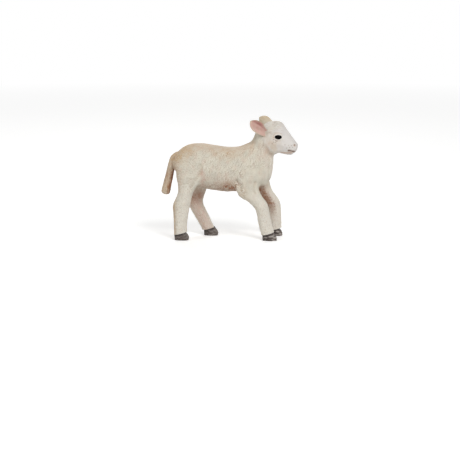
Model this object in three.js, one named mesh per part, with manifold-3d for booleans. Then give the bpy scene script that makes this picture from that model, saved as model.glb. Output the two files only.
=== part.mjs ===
// Toy lamb figure: a small solid vinyl farm animal, walking with its head up, as an assembly of
// separate mouldings. The trunk has sockets, and the head, legs and tail plug into them. The head
// carries the ears and eyes, and each leg ends in a cloven hoof.
// Units are millimetres. +X is forward (the nose), +Y is the lamb's left, +Z is up.
// The figure stands on Z = 0, and the middle of its footprint box is the origin.
import * as THREE from "three";
import { mergeVertices } from "three/addons/utils/BufferGeometryUtils.js";
import Module from "manifold-3d";

const wasm = await Module();
wasm.setup();

// Trunk
const barrelHeight = 31; // ground to the middle of the barrel
const barrelLength = 42; // buttocks to breast
const barrelDepth = 19.4; // back to belly
const barrelWidth = 17.8;
const rumpDome = 1.1; // how far the rounded rump stands behind the last full section
const breastDome = 1.2;
const neckDepth = 12;
const neckWidth = 9.8;

// Head
const headLength = 16.9; // nape to nose
const headDepth = 14.1; // crown to jaw
const headWidth = 10;
const napeDome = 1.5;
const noseDome = 0.7;
const headYaw = 11; // degrees that the head turns to the lamb's right
const headPlugDepth = 5;
const headPlugWidth = 4;
const headPlugLength = 3.2;
const nostrilLength = 1;
const nostrilHeight = 0.6;
const mouthLength = 3.6; // corner of the mouth to past the lips
const mouthHeight = 0.35;
const mouthDepth = 0.45;

// Eyes: shallow domes, each set in a hollow
const eyeLength = 3.3;
const eyeHeight = 2.1;
const eyeThickness = 2;
const eyeGap = 0.15;

// Ears: leaf-shaped cups
const earLength = 8.5;
const earWidth = 5.3;
const earWall = 1;
const earCup = 1.5; // how far the rim stands in front of the middle of the ear
const earPlugDiameter = 1.1;
const earPlugLength = 1.8;
const earPlugRoot = 1.4; // how far up the ear its plug is rooted

// Legs
const stance = 12; // left hoof centre to right hoof centre
const legDepth = 5.6; // front to back at the cannon
const legWidth = 5.1;
const legSeamDrop = 1; // the legs part from the trunk this far below the belly
const legPlugDepth = 2.8;
const legPlugWidth = 2.2;
const legPlugLength = 3;

// Hooves: two claws side by side
const hoofHeight = 2.9; // at the middle of the coronet
const hoofLength = 6.2;
const hoofWidth = 5.4;
const hoofRake = 14; // degrees that the coronet rises towards the toe
const clawOverlap = 0.6; // how far the two claws run into each other

// Tail
const tailDrop = 16.8; // root to tip, measured straight down
const tailDepth = 3.55;
const tailWidth = 4.1;
const tailTipDome = 1.2;
const tailPlugDiameter = 1.8;
const tailPlugLength = 2;

const seamGap = 0.3; // between two mouldings that meet
const cutOverrun = 1; // how far a cutter runs past what it cuts

// Facets
const barrelSides = 24;
const neckSides = 20;
const headSides = 20;
const legSides = 14;
const tailSides = 12;
const clawSides = 14;
const eyeFacets = 12;
const earSpots = 7; // points across each face of the ear
const domeAngles = [30, 58, 82]; // degrees up the quarter circle of a domed end

const DEGREE = Math.PI / 180;
const RIGHT = -1;
const LEFT = 1;
const UP = new THREE.Vector3(0, 0, 1);
const SIDE = new THREE.Vector3(0, 1, 0);

// Trunk sections, rump to breast: [along barrelLength, rise above barrelHeight as a share of
// barrelDepth, degrees that the section leans back, depth and width as shares of the barrel's]
const barrelShares = [
  [-0.562, 0.06, 9, 0.36, 0.52],
  [-0.532, 0.03, 4, 0.61, 0.74],
  [-0.47, 0.03, 3, 0.83, 0.88],
  [-0.385, 0.034, 2, 0.975, 0.93],
  [-0.28, 0.035, 1, 1, 0.93],
  [-0.165, 0, 0, 1, 0.945],
  [-0.048, -0.034, 0, 0.995, 0.99],
  [0.07, -0.034, 0, 0.985, 1],
  [0.18, 0, 0, 1.01, 0.95],
  [0.27, 0, 2, 0.97, 0.85],
  [0.354, -0.02, 2, 0.82, 0.68],
  [0.407, -0.018, 1, 0.53, 0.46],
];
// Neck sections, withers to poll: [along barrelLength, height as a share of barrelHeight, degrees
// that the section leans back, depth and width as shares of the neck's]
const neckShares = [
  [0.24, 0.97, 52, 1.15, 1.1],
  [0.3, 1.13, 50, 1.16, 1.2],
  [0.335, 1.235, 47, 1, 1.06],
  [0.36, 1.322, 40, 1, 1],
  [0.4, 1.39, 37, 1.02, 0.96],
  [0.442, 1.448, 37, 0.82, 0.77],
];
const headSeamShare = 0.66; // where the head parts from the trunk, along the neck
// The head's own zero lies on the nape: its place as shares of barrelLength and barrelHeight.
const napeShares = [0.31, 1.435];
// Head sections, nape to nose: [along headLength, rise above the nape as a share of headDepth,
// degrees that the section leans back, depth and width as shares of the head's]
const headShares = [
  [0.104, -0.142, 24, 0.64, 0.86],
  [0.2, -0.08, 19, 0.81, 0.96],
  [0.328, -0.028, 12, 0.957, 1],
  [0.479, 0.004, 4, 1, 1],
  [0.592, -0.046, 2, 0.93, 0.96],
  [0.704, -0.145, 0, 0.773, 0.83],
  [0.805, -0.245, -4, 0.59, 0.69],
  [0.882, -0.309, -11, 0.44, 0.6],
  [0.941, -0.326, -14, 0.29, 0.46],
];
// Places on the head: along headLength, out from the middle over headWidth, rise over headDepth
const eyeShares = [0.54, 0.41, 0.03];
const nostrilShares = [0.92, 0.185, -0.235];
const mouthShares = [0.755, 0, -0.385]; // corner of the mouth
const earShares = [0.155, 0.32, 0.215];
const eyeSplay = 10; // degrees that each eye looks forward of straight out
// Directions of an ear, back, out and up, for the axis and for the open side of the cup
const earAxisShares = [-0.57, 0.64, 0.51];
const earFaceShares = [0.62, 0.72, -0.31];
// Ear outline, root to tip: [along earLength, width as a share of earWidth]
const earOutlineShares = [
  [0, 0.6],
  [0.14, 0.74],
  [0.3, 0.9],
  [0.46, 1],
  [0.62, 0.98],
  [0.77, 0.85],
  [0.9, 0.6],
  [1, 0.2],
];
const earRimShare = 0.45; // how much of the wall's thickness the rim loses
// Leg sections, thigh or shoulder to sole: [along barrelLength, height as a share of barrelHeight,
// out from the middle over half the stance, depth and width as shares of the leg's]
const hindRightShares = [
  [-0.4, 1.13, 0.6, 1.5, 1.1],
  [-0.41, 0.935, 0.8, 1.96, 1.58],
  [-0.416, 0.82, 0.84, 1.75, 1.45],
  [-0.43, 0.755, 0.88, 1.43, 1.34],
  [-0.45, 0.66, 0.93, 1.15, 1.22],
  [-0.48, 0.54, 0.98, 1.25, 1.12],
  [-0.494, 0.465, 1, 1.27, 1.08],
  [-0.5, 0.325, 1, 1.09, 1],
  [-0.504, 0.22, 1, 1, 0.96],
  [-0.503, 0.13, 1, 0.98, 1],
  [-0.5, 0.03, 1, 0.96, 1],
];
const hindLeftShares = [
  [-0.4, 1.13, 0.6, 1.5, 1.1],
  [-0.39, 0.935, 0.8, 1.98, 1.58],
  [-0.363, 0.82, 0.84, 1.9, 1.45],
  [-0.35, 0.72, 0.89, 1.6, 1.32],
  [-0.352, 0.61, 0.95, 1.33, 1.2],
  [-0.366, 0.513, 0.98, 1.21, 1.12],
  [-0.36, 0.439, 1, 1.18, 1.08],
  [-0.338, 0.38, 1, 1.14, 1.02],
  [-0.294, 0.265, 1, 1.09, 0.98],
  [-0.238, 0.116, 1, 0.98, 1],
  [-0.212, 0.03, 1, 0.96, 1],
];
const foreRightShares = [
  [0.225, 1.12, 0.58, 1.4, 1.1],
  [0.205, 0.92, 0.8, 1.96, 1.56],
  [0.193, 0.81, 0.83, 1.84, 1.42],
  [0.19, 0.722, 0.88, 1.73, 1.33],
  [0.224, 0.622, 0.92, 1.7, 1.24],
  [0.295, 0.532, 0.97, 1.36, 1.14],
  [0.335, 0.452, 1, 1.04, 1.06],
  [0.352, 0.365, 1, 0.96, 1],
  [0.365, 0.274, 1, 0.98, 0.96],
  [0.386, 0.161, 1, 1, 0.96],
  [0.402, 0.084, 1, 1, 1],
  [0.413, 0.03, 1, 0.98, 1],
];
const foreLeftShares = [
  [0.245, 1.12, 0.58, 1.4, 1.1],
  [0.27, 0.92, 0.8, 1.86, 1.54],
  [0.303, 0.79, 0.85, 1.64, 1.4],
  [0.358, 0.655, 0.91, 1.26, 1.24],
  [0.41, 0.555, 0.97, 1.26, 1.14],
  [0.452, 0.468, 1, 1.1, 1.04],
  [0.471, 0.355, 1, 0.94, 0.96],
  [0.48, 0.194, 1, 0.88, 0.92],
  [0.481, 0.132, 1, 0.87, 0.96],
  [0.482, 0.03, 1, 0.88, 1],
];
// How far each hoof stands ahead of its coronet, over hoofLength
const hoofReachShares = { hindRight: 0.05, hindLeft: 0.18, foreRight: 0.1, foreLeft: -0.05 };
// Claw sections, sole to above the coronet: [height over hoofHeight, shift ahead and length over
// hoofLength, width as a share of the claw's]
const clawShares = [
  [0, 0.03, 0.97, 0.9],
  [0.2, 0.035, 1, 1],
  [0.6, 0, 0.95, 0.98],
  [1, -0.08, 0.82, 0.94],
  [1.7, -0.16, 0.7, 0.9],
];
const toeShare = 0.3; // how much each claw narrows from its middle to its toe
// Tail sections, root to tip: [along barrelLength, drop below the root over tailDrop, degrees that
// the section leans back, depth and width as shares of the tail's]
const tailShares = [
  [-0.524, 0, 35, 1.3, 1.4],
  [-0.569, 0.057, 55, 1.13, 1.25],
  [-0.595, 0.18, 74, 0.93, 1.06],
  [-0.613, 0.36, 77, 0.93, 0.98],
  [-0.639, 0.64, 77, 0.97, 0.98],
  [-0.655, 0.81, 78, 1.03, 1],
  [-0.664, 0.92, 80, 1.04, 0.96],
];
const tailRootShare = 1.15; // height of the tail's root, over barrelHeight
const tailSeamShare = 0.23; // where the tail parts from the trunk, along the tail

const plugCornerShare = 0.6; // corner radius of a flat-sided plug, over half its thickness

// Turns a closed three.js geometry into a solid.
function solidFrom(geometry) {
  const bare = geometry.clone();
  bare.deleteAttribute("normal");
  bare.deleteAttribute("uv");
  const merged = mergeVertices(bare);
  return new wasm.Manifold(
    new wasm.Mesh({
      numProp: 3,
      vertProperties: new Float32Array(merged.attributes.position.array),
      triVerts: new Uint32Array(merged.index.array),
    }),
  );
}

// Turns a solid back into a three.js geometry.
function geometryFrom(solid) {
  const mesh = solid.getMesh();
  const geometry = new THREE.BufferGeometry();
  geometry.setAttribute("position", new THREE.BufferAttribute(mesh.vertProperties, 3));
  geometry.setIndex(new THREE.BufferAttribute(mesh.triVerts, 1));
  geometry.computeVertexNormals();
  return geometry;
}

// Six times the volume inside a closed mesh, below zero where its faces point in.
function sixVolumes(points, index) {
  let sum = 0;
  for (let i = 0; i < index.length; i += 3) {
    const [a, b, c] = [0, 1, 2].map((corner) => points[index[i + corner]]);
    sum += a.dot(new THREE.Vector3().crossVectors(b, c));
  }
  return sum;
}

// Skins closed rings of equal point count into one solid, with a fan over each end.
function skin(rings) {
  const sides = rings[0].length;
  const points = rings.flat();
  const index = [];
  for (let start = 0; start + sides < points.length; start += sides) {
    for (let i = 0; i < sides; i++) {
      const j = (i + 1) % sides;
      index.push(start + i, start + j, start + sides + j);
      index.push(start + i, start + sides + j, start + sides + i);
    }
  }
  const last = points.length - sides;
  for (const start of [0, last]) {
    const middle = new THREE.Vector3();
    points.slice(start, start + sides).forEach((point) => middle.addScaledVector(point, 1 / sides));
    const hub = points.push(middle) - 1;
    for (let i = 0; i < sides; i++) {
      const j = (i + 1) % sides;
      index.push(...(start === 0 ? [start + j, start + i, hub] : [start + i, start + j, hub]));
    }
  }
  if (sixVolumes(points, index) < 0) index.reverse();
  const geometry = new THREE.BufferGeometry().setFromPoints(points);
  geometry.setIndex(index);
  return solidFrom(geometry);
}

// A body with oval sections, smoothly joined. A row is { at, lean, depth, width }: the middle of a
// section, the degrees that its depth leans back from upright, and its two full sizes.
class Form {
  constructor(rows, { sides, steps = 2, startDome = 0, endDome = 0 }) {
    this.middle = new THREE.CatmullRomCurve3(rows.map((row) => row.at));
    this.section = new THREE.CatmullRomCurve3(
      rows.map((row) => new THREE.Vector3(row.depth, row.width, row.lean)),
    );
    this.sides = sides;
    this.count = (rows.length - 1) * steps;
    this.domes = [startDome, endDome];
  }

  // The section at a share of the way: its middle, sizes, and axes.
  cut(share) {
    const { x: depth, y: width, z: lean } = this.section.getPoint(share);
    const across = new THREE.Vector3(-Math.sin(lean * DEGREE), 0, Math.cos(lean * DEGREE));
    const ahead = new THREE.Vector3().crossVectors(SIDE, across);
    if (ahead.dot(this.middle.getTangent(share)) < 0) ahead.negate();
    return { at: this.middle.getPoint(share), depth, width, across, ahead };
  }

  ring(share, grow, shift, scale) {
    const { at, depth, width, across, ahead } = this.cut(share);
    return Array.from({ length: this.sides }, (_, i) => {
      const angle = (i / this.sides) * 2 * Math.PI;
      return at
        .clone()
        .addScaledVector(ahead, shift)
        .addScaledVector(across, (depth / 2 + grow) * scale * Math.sin(angle))
        .addScaledVector(SIDE, (width / 2 + grow) * scale * Math.cos(angle));
    });
  }

  // The solid, with its skin moved out by the length given.
  solid(grow = 0) {
    const [startDome, endDome] = this.domes;
    const dome = domeAngles.map((angle) => [Math.sin(angle * DEGREE), Math.cos(angle * DEGREE)]);
    const start = dome.map(([out, scale]) => this.ring(0, grow, -out * (startDome + grow), scale));
    const end = dome.map(([out, scale]) => this.ring(1, grow, out * (endDome + grow), scale));
    const rings = Array.from({ length: this.count + 1 }, (_, i) => this.ring(i / this.count, grow, 0, 1));
    return skin([
      ...(startDome ? start.reverse() : []),
      ...rings,
      ...(endDome ? end : []),
    ]);
  }

  // The section that lies at a height, on a form that runs downwards.
  atHeight(height) {
    let high = 0;
    let low = 1;
    for (let turn = 0; turn < 40; turn++) {
      const share = (high + low) / 2;
      if (this.middle.getPoint(share).z > height) high = share;
      else low = share;
    }
    return this.cut(low);
  }
}

// Keeps what lies past a plane through the point, on the side that the normal points to.
function keepBeyond(solid, point, normal, distance) {
  const size = barrelLength + barrelHeight + barrelDepth + headLength + headDepth + tailDrop;
  const box = new THREE.BoxGeometry(size, size, size);
  box.translate(0, 0, size / 2 + distance);
  box.applyQuaternion(new THREE.Quaternion().setFromUnitVectors(UP, normal));
  box.translate(point.x, point.y, point.z);
  return solid.intersect(solidFrom(box));
}

// A plug with rounded corners that stands out from a seam along the direction, and is rooted in
// the piece behind the seam. A socket is the same plug with a clearance.
function plug(point, direction, depth, width, length, clearance = 0, rooted = cutOverrun) {
  const halfDepth = depth / 2 + clearance;
  const halfWidth = width / 2 + clearance;
  const corner = Math.min(halfDepth, halfWidth) * plugCornerShare;
  const shape = new THREE.Shape();
  shape.absarc(halfDepth - corner, halfWidth - corner, corner, 0, Math.PI / 2);
  shape.absarc(corner - halfDepth, halfWidth - corner, corner, Math.PI / 2, Math.PI);
  shape.absarc(corner - halfDepth, corner - halfWidth, corner, Math.PI, 1.5 * Math.PI);
  shape.absarc(halfDepth - corner, corner - halfWidth, corner, 1.5 * Math.PI, 2 * Math.PI);
  const body = new THREE.ExtrudeGeometry(shape, {
    depth: rooted + length + clearance,
    bevelEnabled: false,
    curveSegments: 4,
  });
  body.translate(0, 0, -rooted);
  const across = new THREE.Vector3().crossVectors(SIDE, direction).normalize();
  const sideways = new THREE.Vector3().crossVectors(direction, across);
  body.applyMatrix4(new THREE.Matrix4().makeBasis(across, sideways, direction));
  body.translate(point.x, point.y, point.z);
  return solidFrom(body);
}

// A ball drawn out to three sizes: along a level direction, across it on the level, and upright.
function ball(centre, along, sizes, grow = 0) {
  const unit = new THREE.SphereGeometry(1, eyeFacets, eyeFacets / 2);
  unit.scale(sizes[0] / 2 + grow, sizes[1] / 2 + grow, sizes[2] / 2 + grow);
  const sideways = new THREE.Vector3().crossVectors(UP, along);
  unit.applyMatrix4(new THREE.Matrix4().makeBasis(along, sideways, UP));
  unit.translate(centre.x, centre.y, centre.z);
  return solidFrom(unit);
}

// Trunk and neck
const barrel = new Form(
  barrelShares.map(([along, rise, lean, depth, width]) => ({
    at: new THREE.Vector3(along * barrelLength, 0, barrelHeight + rise * barrelDepth),
    lean,
    depth: depth * barrelDepth,
    width: width * barrelWidth,
  })),
  { sides: barrelSides, startDome: rumpDome, endDome: breastDome },
);
const neck = new Form(
  neckShares.map(([along, height, lean, depth, width]) => ({
    at: new THREE.Vector3(along * barrelLength, 0, height * barrelHeight),
    lean,
    depth: depth * neckDepth,
    width: width * neckWidth,
  })),
  { sides: neckSides },
);

// Head
const nape = new THREE.Vector3(napeShares[0] * barrelLength, 0, napeShares[1] * barrelHeight);

// A place on the head, before the head is turned.
function onHead([along, out, rise], side = LEFT) {
  const place = new THREE.Vector3(along * headLength, side * out * headWidth, rise * headDepth);
  return place.add(nape);
}

const headForm = new Form(
  headShares.map(([along, rise, lean, depth, width]) => ({
    at: onHead([along, 0, rise]),
    lean,
    depth: depth * headDepth,
    width: width * headWidth,
  })),
  { sides: headSides, startDome: napeDome, endDome: noseDome },
);

// Turns a solid of the head about the upright line through the nape.
function turned(solid) {
  const back = solid.translate([-nape.x, -nape.y, -nape.z]);
  return back.rotate([0, 0, -headYaw]).translate([nape.x, nape.y, nape.z]);
}

function eyeSolid(side, grow = 0) {
  const along = new THREE.Vector3(1, 0, 0).applyAxisAngle(UP, -side * eyeSplay * DEGREE);
  return ball(onHead(eyeShares, side), along, [eyeLength, eyeThickness, eyeHeight], grow);
}

function nostrilCut(side) {
  const along = new THREE.Vector3(1, 0, 0);
  return ball(onHead(nostrilShares, side), along, [nostrilLength, nostrilLength, nostrilHeight]);
}

// A shallow groove round the lips.
function mouthCut() {
  const corner = onHead(mouthShares);
  const slot = new THREE.BoxGeometry(mouthLength, headWidth, mouthHeight);
  slot.translate(corner.x + mouthLength / 2, corner.y, corner.z);
  return solidFrom(slot).subtract(headForm.solid(-mouthDepth));
}

// Ears
function earAxes(side) {
  const axis = new THREE.Vector3(earAxisShares[0], side * earAxisShares[1], earAxisShares[2]);
  const face = new THREE.Vector3(earFaceShares[0], side * earFaceShares[1], earFaceShares[2]);
  axis.normalize();
  face.addScaledVector(axis, -face.dot(axis)).normalize();
  return { axis, face, across: new THREE.Vector3().crossVectors(axis, face) };
}

// A cupped leaf: each ring runs over the ear's back and returns over its open face.
function earLeaf(side) {
  const { axis, face, across } = earAxes(side);
  const spots = Array.from({ length: earSpots }, (_, i) => (2 * i) / (earSpots - 1) - 1);
  const rings = earOutlineShares.map(([along, width]) => {
    const line = (wallSide) =>
      spots.map((spot) => {
        const wall = (wallSide * earWall * (1 - earRimShare * spot * spot)) / 2;
        return onHead(earShares, side)
          .addScaledVector(axis, along * earLength)
          .addScaledVector(across, (spot * width * earWidth) / 2)
          .addScaledVector(face, spot * spot * width * earCup + wall);
      });
    return [...line(-1), ...line(1).reverse()];
  });
  return skin(rings);
}

function earPlug(side, clearance = 0) {
  const inward = earAxes(side).axis.negate();
  const size = earPlugDiameter;
  return plug(onHead(earShares, side), inward, size, size, earPlugLength, clearance, earPlugRoot);
}

// Legs and hooves
function hoofSolid(coronet, reachShare) {
  const clawWidth = (hoofWidth + clawOverlap) / 2;
  const claws = [RIGHT, LEFT].map((side) =>
    skin(
      clawShares.map(([height, shift, length, width]) =>
        Array.from({ length: clawSides }, (_, i) => {
          const angle = (i / clawSides) * 2 * Math.PI;
          const narrow = 1 - toeShare * Math.max(Math.cos(angle), 0) ** 2;
          const ahead = reachShare + shift + (length * Math.cos(angle)) / 2;
          const out = (side * (hoofWidth - clawWidth)) / 2;
          return new THREE.Vector3(
            coronet.x + ahead * hoofLength,
            coronet.y + out + (narrow * width * clawWidth * Math.sin(angle)) / 2,
            height * hoofHeight,
          );
        }),
      ),
    ),
  );
  return claws[0].add(claws[1]);
}

// A leg, parted from the trunk at a level seam and from its hoof at the coronet.
function buildLeg(rowShares, side, reachShare) {
  const form = new Form(
    rowShares.map(([along, height, out, depth, width]) => ({
      at: new THREE.Vector3(
        along * barrelLength,
        (side * out * stance) / 2,
        height * barrelHeight,
      ),
      lean: -90,
      depth: depth * legDepth,
      width: width * legWidth,
    })),
    { sides: legSides },
  );
  const whole = form.solid();
  const down = UP.clone().negate();
  const seam = form.atHeight(barrelHeight - barrelDepth / 2 - legSeamDrop).at;
  const coronet = form.atHeight(hoofHeight).at;
  const coronetUp = UP.clone().applyAxisAngle(SIDE, -hoofRake * DEGREE);
  const lower = keepBeyond(whole, seam, down, seamGap / 2);
  const key = (clearance) =>
    plug(seam, UP, legPlugDepth, legPlugWidth, legPlugLength, clearance);
  return {
    stump: keepBeyond(whole, seam, UP, seamGap / 2),
    leg: keepBeyond(lower, coronet, coronetUp, seamGap / 2).add(key(0)),
    socket: key(seamGap),
    hoof: keepBeyond(
      hoofSolid(coronet, reachShare),
      coronet,
      coronetUp.clone().negate(),
      seamGap / 2,
    ),
  };
}

const hindRight = buildLeg(hindRightShares, RIGHT, hoofReachShares.hindRight);
const hindLeft = buildLeg(hindLeftShares, LEFT, hoofReachShares.hindLeft);
const foreRight = buildLeg(foreRightShares, RIGHT, hoofReachShares.foreRight);
const foreLeft = buildLeg(foreLeftShares, LEFT, hoofReachShares.foreLeft);
const legs = [hindRight, hindLeft, foreRight, foreLeft];

// Tail
const tailForm = new Form(
  tailShares.map(([along, drop, lean, depth, width]) => ({
    at: new THREE.Vector3(
      along * barrelLength,
      0,
      tailRootShare * barrelHeight - drop * tailDrop,
    ),
    lean,
    depth: depth * tailDepth,
    width: width * tailWidth,
  })),
  { sides: tailSides, endDome: tailTipDome },
);
const tailSeam = tailForm.cut(tailSeamShare);
const tailInward = tailSeam.ahead.clone().negate();
const tailKey = (clearance) =>
  plug(tailSeam.at, tailInward, tailPlugDiameter, tailPlugDiameter, tailPlugLength, clearance);
const tailStump = keepBeyond(tailForm.solid(), tailSeam.at, tailInward, seamGap / 2);
const tail = keepBeyond(tailForm.solid(), tailSeam.at, tailSeam.ahead, seamGap / 2)
  .subtract(barrel.solid(seamGap))
  .add(tailKey(0));

// The trunk and the head are cut from one skin, so that they match at the seam
const headSeam = neck.cut(headSeamShare);
const headInward = headSeam.ahead.clone().negate();
const headKey = (clearance) =>
  plug(headSeam.at, headInward, headPlugDepth, headPlugWidth, headPlugLength, clearance);
const body = barrel.solid().add(neck.solid()).add(turned(headForm.solid()));
let trunk = keepBeyond(body, headSeam.at, headInward, seamGap / 2).add(tailStump);
legs.forEach((limb) => {
  trunk = trunk.add(limb.stump);
});
[headKey(seamGap), tailKey(seamGap), ...legs.map((limb) => limb.socket)].forEach((socket) => {
  trunk = trunk.subtract(socket);
});

let head = keepBeyond(body, headSeam.at, headSeam.ahead, seamGap / 2);
[RIGHT, LEFT].forEach((side) => {
  head = head
    .subtract(turned(eyeSolid(side, eyeGap)))
    .subtract(turned(nostrilCut(side)))
    .subtract(turned(earPlug(side, seamGap)));
});
head = head.subtract(turned(mouthCut())).add(headKey(0));

// An ear stops a seam's gap short of the head and neck, and its plug goes on into the head.
const earBed = turned(headForm.solid(seamGap)).add(neck.solid(seamGap));
function ear(side) {
  return turned(earLeaf(side)).subtract(earBed).add(turned(earPlug(side)));
}

const fleeceCream = { color: 0xd3ccbb, roughness: 0.62, metalness: 0 };
const faceCream = { color: 0xd6d0c8, roughness: 0.58, metalness: 0 };
const tailTan = { color: 0xb5a390, roughness: 0.62, metalness: 0 };
const earRose = { color: 0xc89e94, roughness: 0.58, metalness: 0 };
const hoofGrey = { color: 0x5b5049, roughness: 0.5, metalness: 0 };
const eyeBlack = { color: 0x16130f, roughness: 0.08, metalness: 0 };

const pieces = [
  ["torso", trunk, fleeceCream],
  ["head", head, faceCream],
  ["ear_right", ear(RIGHT), earRose],
  ["ear_left", ear(LEFT), earRose],
  ["eye_right", turned(eyeSolid(RIGHT)), eyeBlack],
  ["eye_left", turned(eyeSolid(LEFT)), eyeBlack],
  ["foreleg_right", foreRight.leg, fleeceCream],
  ["foreleg_left", foreLeft.leg, fleeceCream],
  ["hindleg_right", hindRight.leg, fleeceCream],
  ["hindleg_left", hindLeft.leg, fleeceCream],
  ["hoof_front_right", foreRight.hoof, hoofGrey],
  ["hoof_front_left", foreLeft.hoof, hoofGrey],
  ["hoof_hind_right", hindRight.hoof, hoofGrey],
  ["hoof_hind_left", hindLeft.hoof, hoofGrey],
  ["tail", tail, tailTan],
];

const lamb = new THREE.Group();
pieces.forEach(([name, solid, finish]) => {
  const mesh = new THREE.Mesh(geometryFrom(solid), new THREE.MeshStandardMaterial(finish));
  mesh.name = name;
  lamb.add(mesh);
});

// Centre the footprint on the origin, with the soles on the ground.
const box = new THREE.Box3().setFromObject(lamb);
const middle = box.getCenter(new THREE.Vector3());
lamb.position.set(-middle.x, -middle.y, -box.min.z);

export default lamb;
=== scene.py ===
"""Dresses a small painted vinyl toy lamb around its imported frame.

The lamb is modelled as a sculptor would: smooth forms in clay, then locks of fleece pressed on one by
one, then a cut into the separate mouldings, then paint. Lengths are millimetres, in the drawing frame
(+X to the nose, +Y to the lamb's left, +Z up), until a mesh is handed over in metres.
"""

import json
import logging
import math
from dataclasses import dataclass, field, replace
from enum import Enum
from typing import Callable, Iterator, Protocol, Sequence

import bmesh
import bpy
import numpy as np
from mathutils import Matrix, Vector


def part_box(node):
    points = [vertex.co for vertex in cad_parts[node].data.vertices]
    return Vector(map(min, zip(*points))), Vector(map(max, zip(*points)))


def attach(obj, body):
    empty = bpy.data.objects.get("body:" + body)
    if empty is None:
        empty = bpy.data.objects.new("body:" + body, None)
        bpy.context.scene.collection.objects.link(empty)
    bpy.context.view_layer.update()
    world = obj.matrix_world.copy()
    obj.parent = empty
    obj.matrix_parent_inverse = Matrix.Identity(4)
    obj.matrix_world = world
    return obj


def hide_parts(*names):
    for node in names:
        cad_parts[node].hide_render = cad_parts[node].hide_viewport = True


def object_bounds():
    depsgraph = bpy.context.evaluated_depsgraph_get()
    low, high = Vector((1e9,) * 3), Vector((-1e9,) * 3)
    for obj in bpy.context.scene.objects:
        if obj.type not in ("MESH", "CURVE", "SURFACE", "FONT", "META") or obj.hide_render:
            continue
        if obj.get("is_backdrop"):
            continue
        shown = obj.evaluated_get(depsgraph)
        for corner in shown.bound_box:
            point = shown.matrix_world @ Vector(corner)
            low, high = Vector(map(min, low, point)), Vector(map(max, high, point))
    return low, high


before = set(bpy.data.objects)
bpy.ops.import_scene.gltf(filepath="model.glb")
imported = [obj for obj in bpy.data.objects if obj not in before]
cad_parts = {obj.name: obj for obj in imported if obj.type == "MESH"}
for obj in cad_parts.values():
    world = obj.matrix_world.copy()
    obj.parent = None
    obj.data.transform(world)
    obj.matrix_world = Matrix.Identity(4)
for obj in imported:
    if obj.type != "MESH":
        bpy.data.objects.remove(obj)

log = logging.getLogger("lamb")

CAD_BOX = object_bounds()
MM = 0.001
FAR = 60.0
Array = np.ndarray
Rows = tuple[tuple[float, ...], ...]
Point = tuple[float, float, float]


class Flank(Enum):
    """A side of the lamb, by the sign of Y."""

    RIGHT = -1
    LEFT = 1


def unit(vector: Sequence[float]) -> Array:
    """Returns the vector at length 1."""
    array = np.asarray(vector, float)
    return array / np.linalg.norm(array)


def unit_rows(rows: Array) -> Array:
    """Returns each row at length 1."""
    return rows / np.maximum(np.linalg.norm(rows, axis=1), 1e-9)[:, None]


def lean_way(degrees: float) -> Array:
    """Returns the direction in the upright plane that rises by degrees from straight ahead."""
    return np.array([math.cos(math.radians(degrees)), 0.0, math.sin(math.radians(degrees))])


def spin(x: Array, y: Array, pivot: Sequence[float], degrees: float) -> tuple[Array, ...]:
    """Turns points about an upright line.

    Args:
        x: Their X.
        y: Their Y.
        pivot: X and Y of the line.
        degrees: The turn, anticlockwise from above.

    Returns:
        The new X and Y.
    """
    cos, sin = math.cos(math.radians(degrees)), math.sin(math.radians(degrees))
    dx, dy = x - pivot[0], y - pivot[1]
    return dx * cos - dy * sin + pivot[0], dx * sin + dy * cos + pivot[1]


def ramp(value: Array, low: float, high: float) -> Array:
    """Eases from 0 to 1 while the value goes from low to high.

    Args:
        value: The numbers to map.
        low: Where the result is 0.
        high: Where the result is 1, which may lie below low.

    Returns:
        The eased shares.
    """
    share = np.clip((value - low) / (high - low), 0.0, 1.0)
    return share * share * (3 - 2 * share)


def hill(value: Array, middle: float, reach: float) -> Array:
    """Returns 1 at the middle, easing to 0 at a reach to either side."""
    return 1 - ramp(np.abs(value - middle), 0.0, reach)


# Forms in clay


@dataclass(frozen=True)
class Part:
    """A stretch of a form: the box that it matters in, and its distance there."""

    low: Array
    high: Array
    distance: Callable[[Array, Array, Array], Array]


class Form(Protocol):
    """Anything that can be pressed into clay."""

    def parts(self) -> Iterator[Part]:
        """Yields the stretches of the form."""


@dataclass(frozen=True)
class Section:
    """An oval section of a loft.

    Attributes:
        x: Middle of the section, along the lamb.
        z: Middle of the section, above the ground.
        lean: Degrees that the section's depth leans back from upright.
        depth: Full size within the lamb's upright plane.
        width: Full size across the lamb.
        y: Middle of the section, to the lamb's left.
    """

    x: float
    z: float
    lean: float
    depth: float
    width: float
    y: float = 0.0


def smooth_rows(rows: Array, steps: int) -> Array:
    """Fills in a table with a Catmull-Rom curve through its rows.

    Args:
        rows: The table, one row to a key.
        steps: Steps from one key to the next.

    Returns:
        The finer table, which holds the keys too.
    """
    padded = np.vstack([2 * rows[0] - rows[1], rows, 2 * rows[-1] - rows[-2]])
    fine = []
    for a, b, c, d in zip(padded, padded[1:], padded[2:], padded[3:]):
        for step in range(steps):
            t = step / steps
            bends = t * t * (a - 2.5 * b + 2 * c - 0.5 * d), t**3 * (1.5 * (b - c) + 0.5 * (d - a))
            fine.append(b + 0.5 * t * (c - a) + bends[0] + bends[1])
    return np.vstack([fine, rows[-1:]])


def oval_distance(places: Sequence[Array], halves: Sequence[Array | float]) -> Array:
    """Returns about how far points lie outside an oval or ellipsoid, from their place on each of its axes."""
    near = np.sqrt(sum((a / half) ** 2 for a, half in zip(places, halves))) + 1e-6
    slope = np.sqrt(sum((a / half**2) ** 2 for a, half in zip(places, halves))) + 1e-6
    return near * (near - 1) / slope


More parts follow.
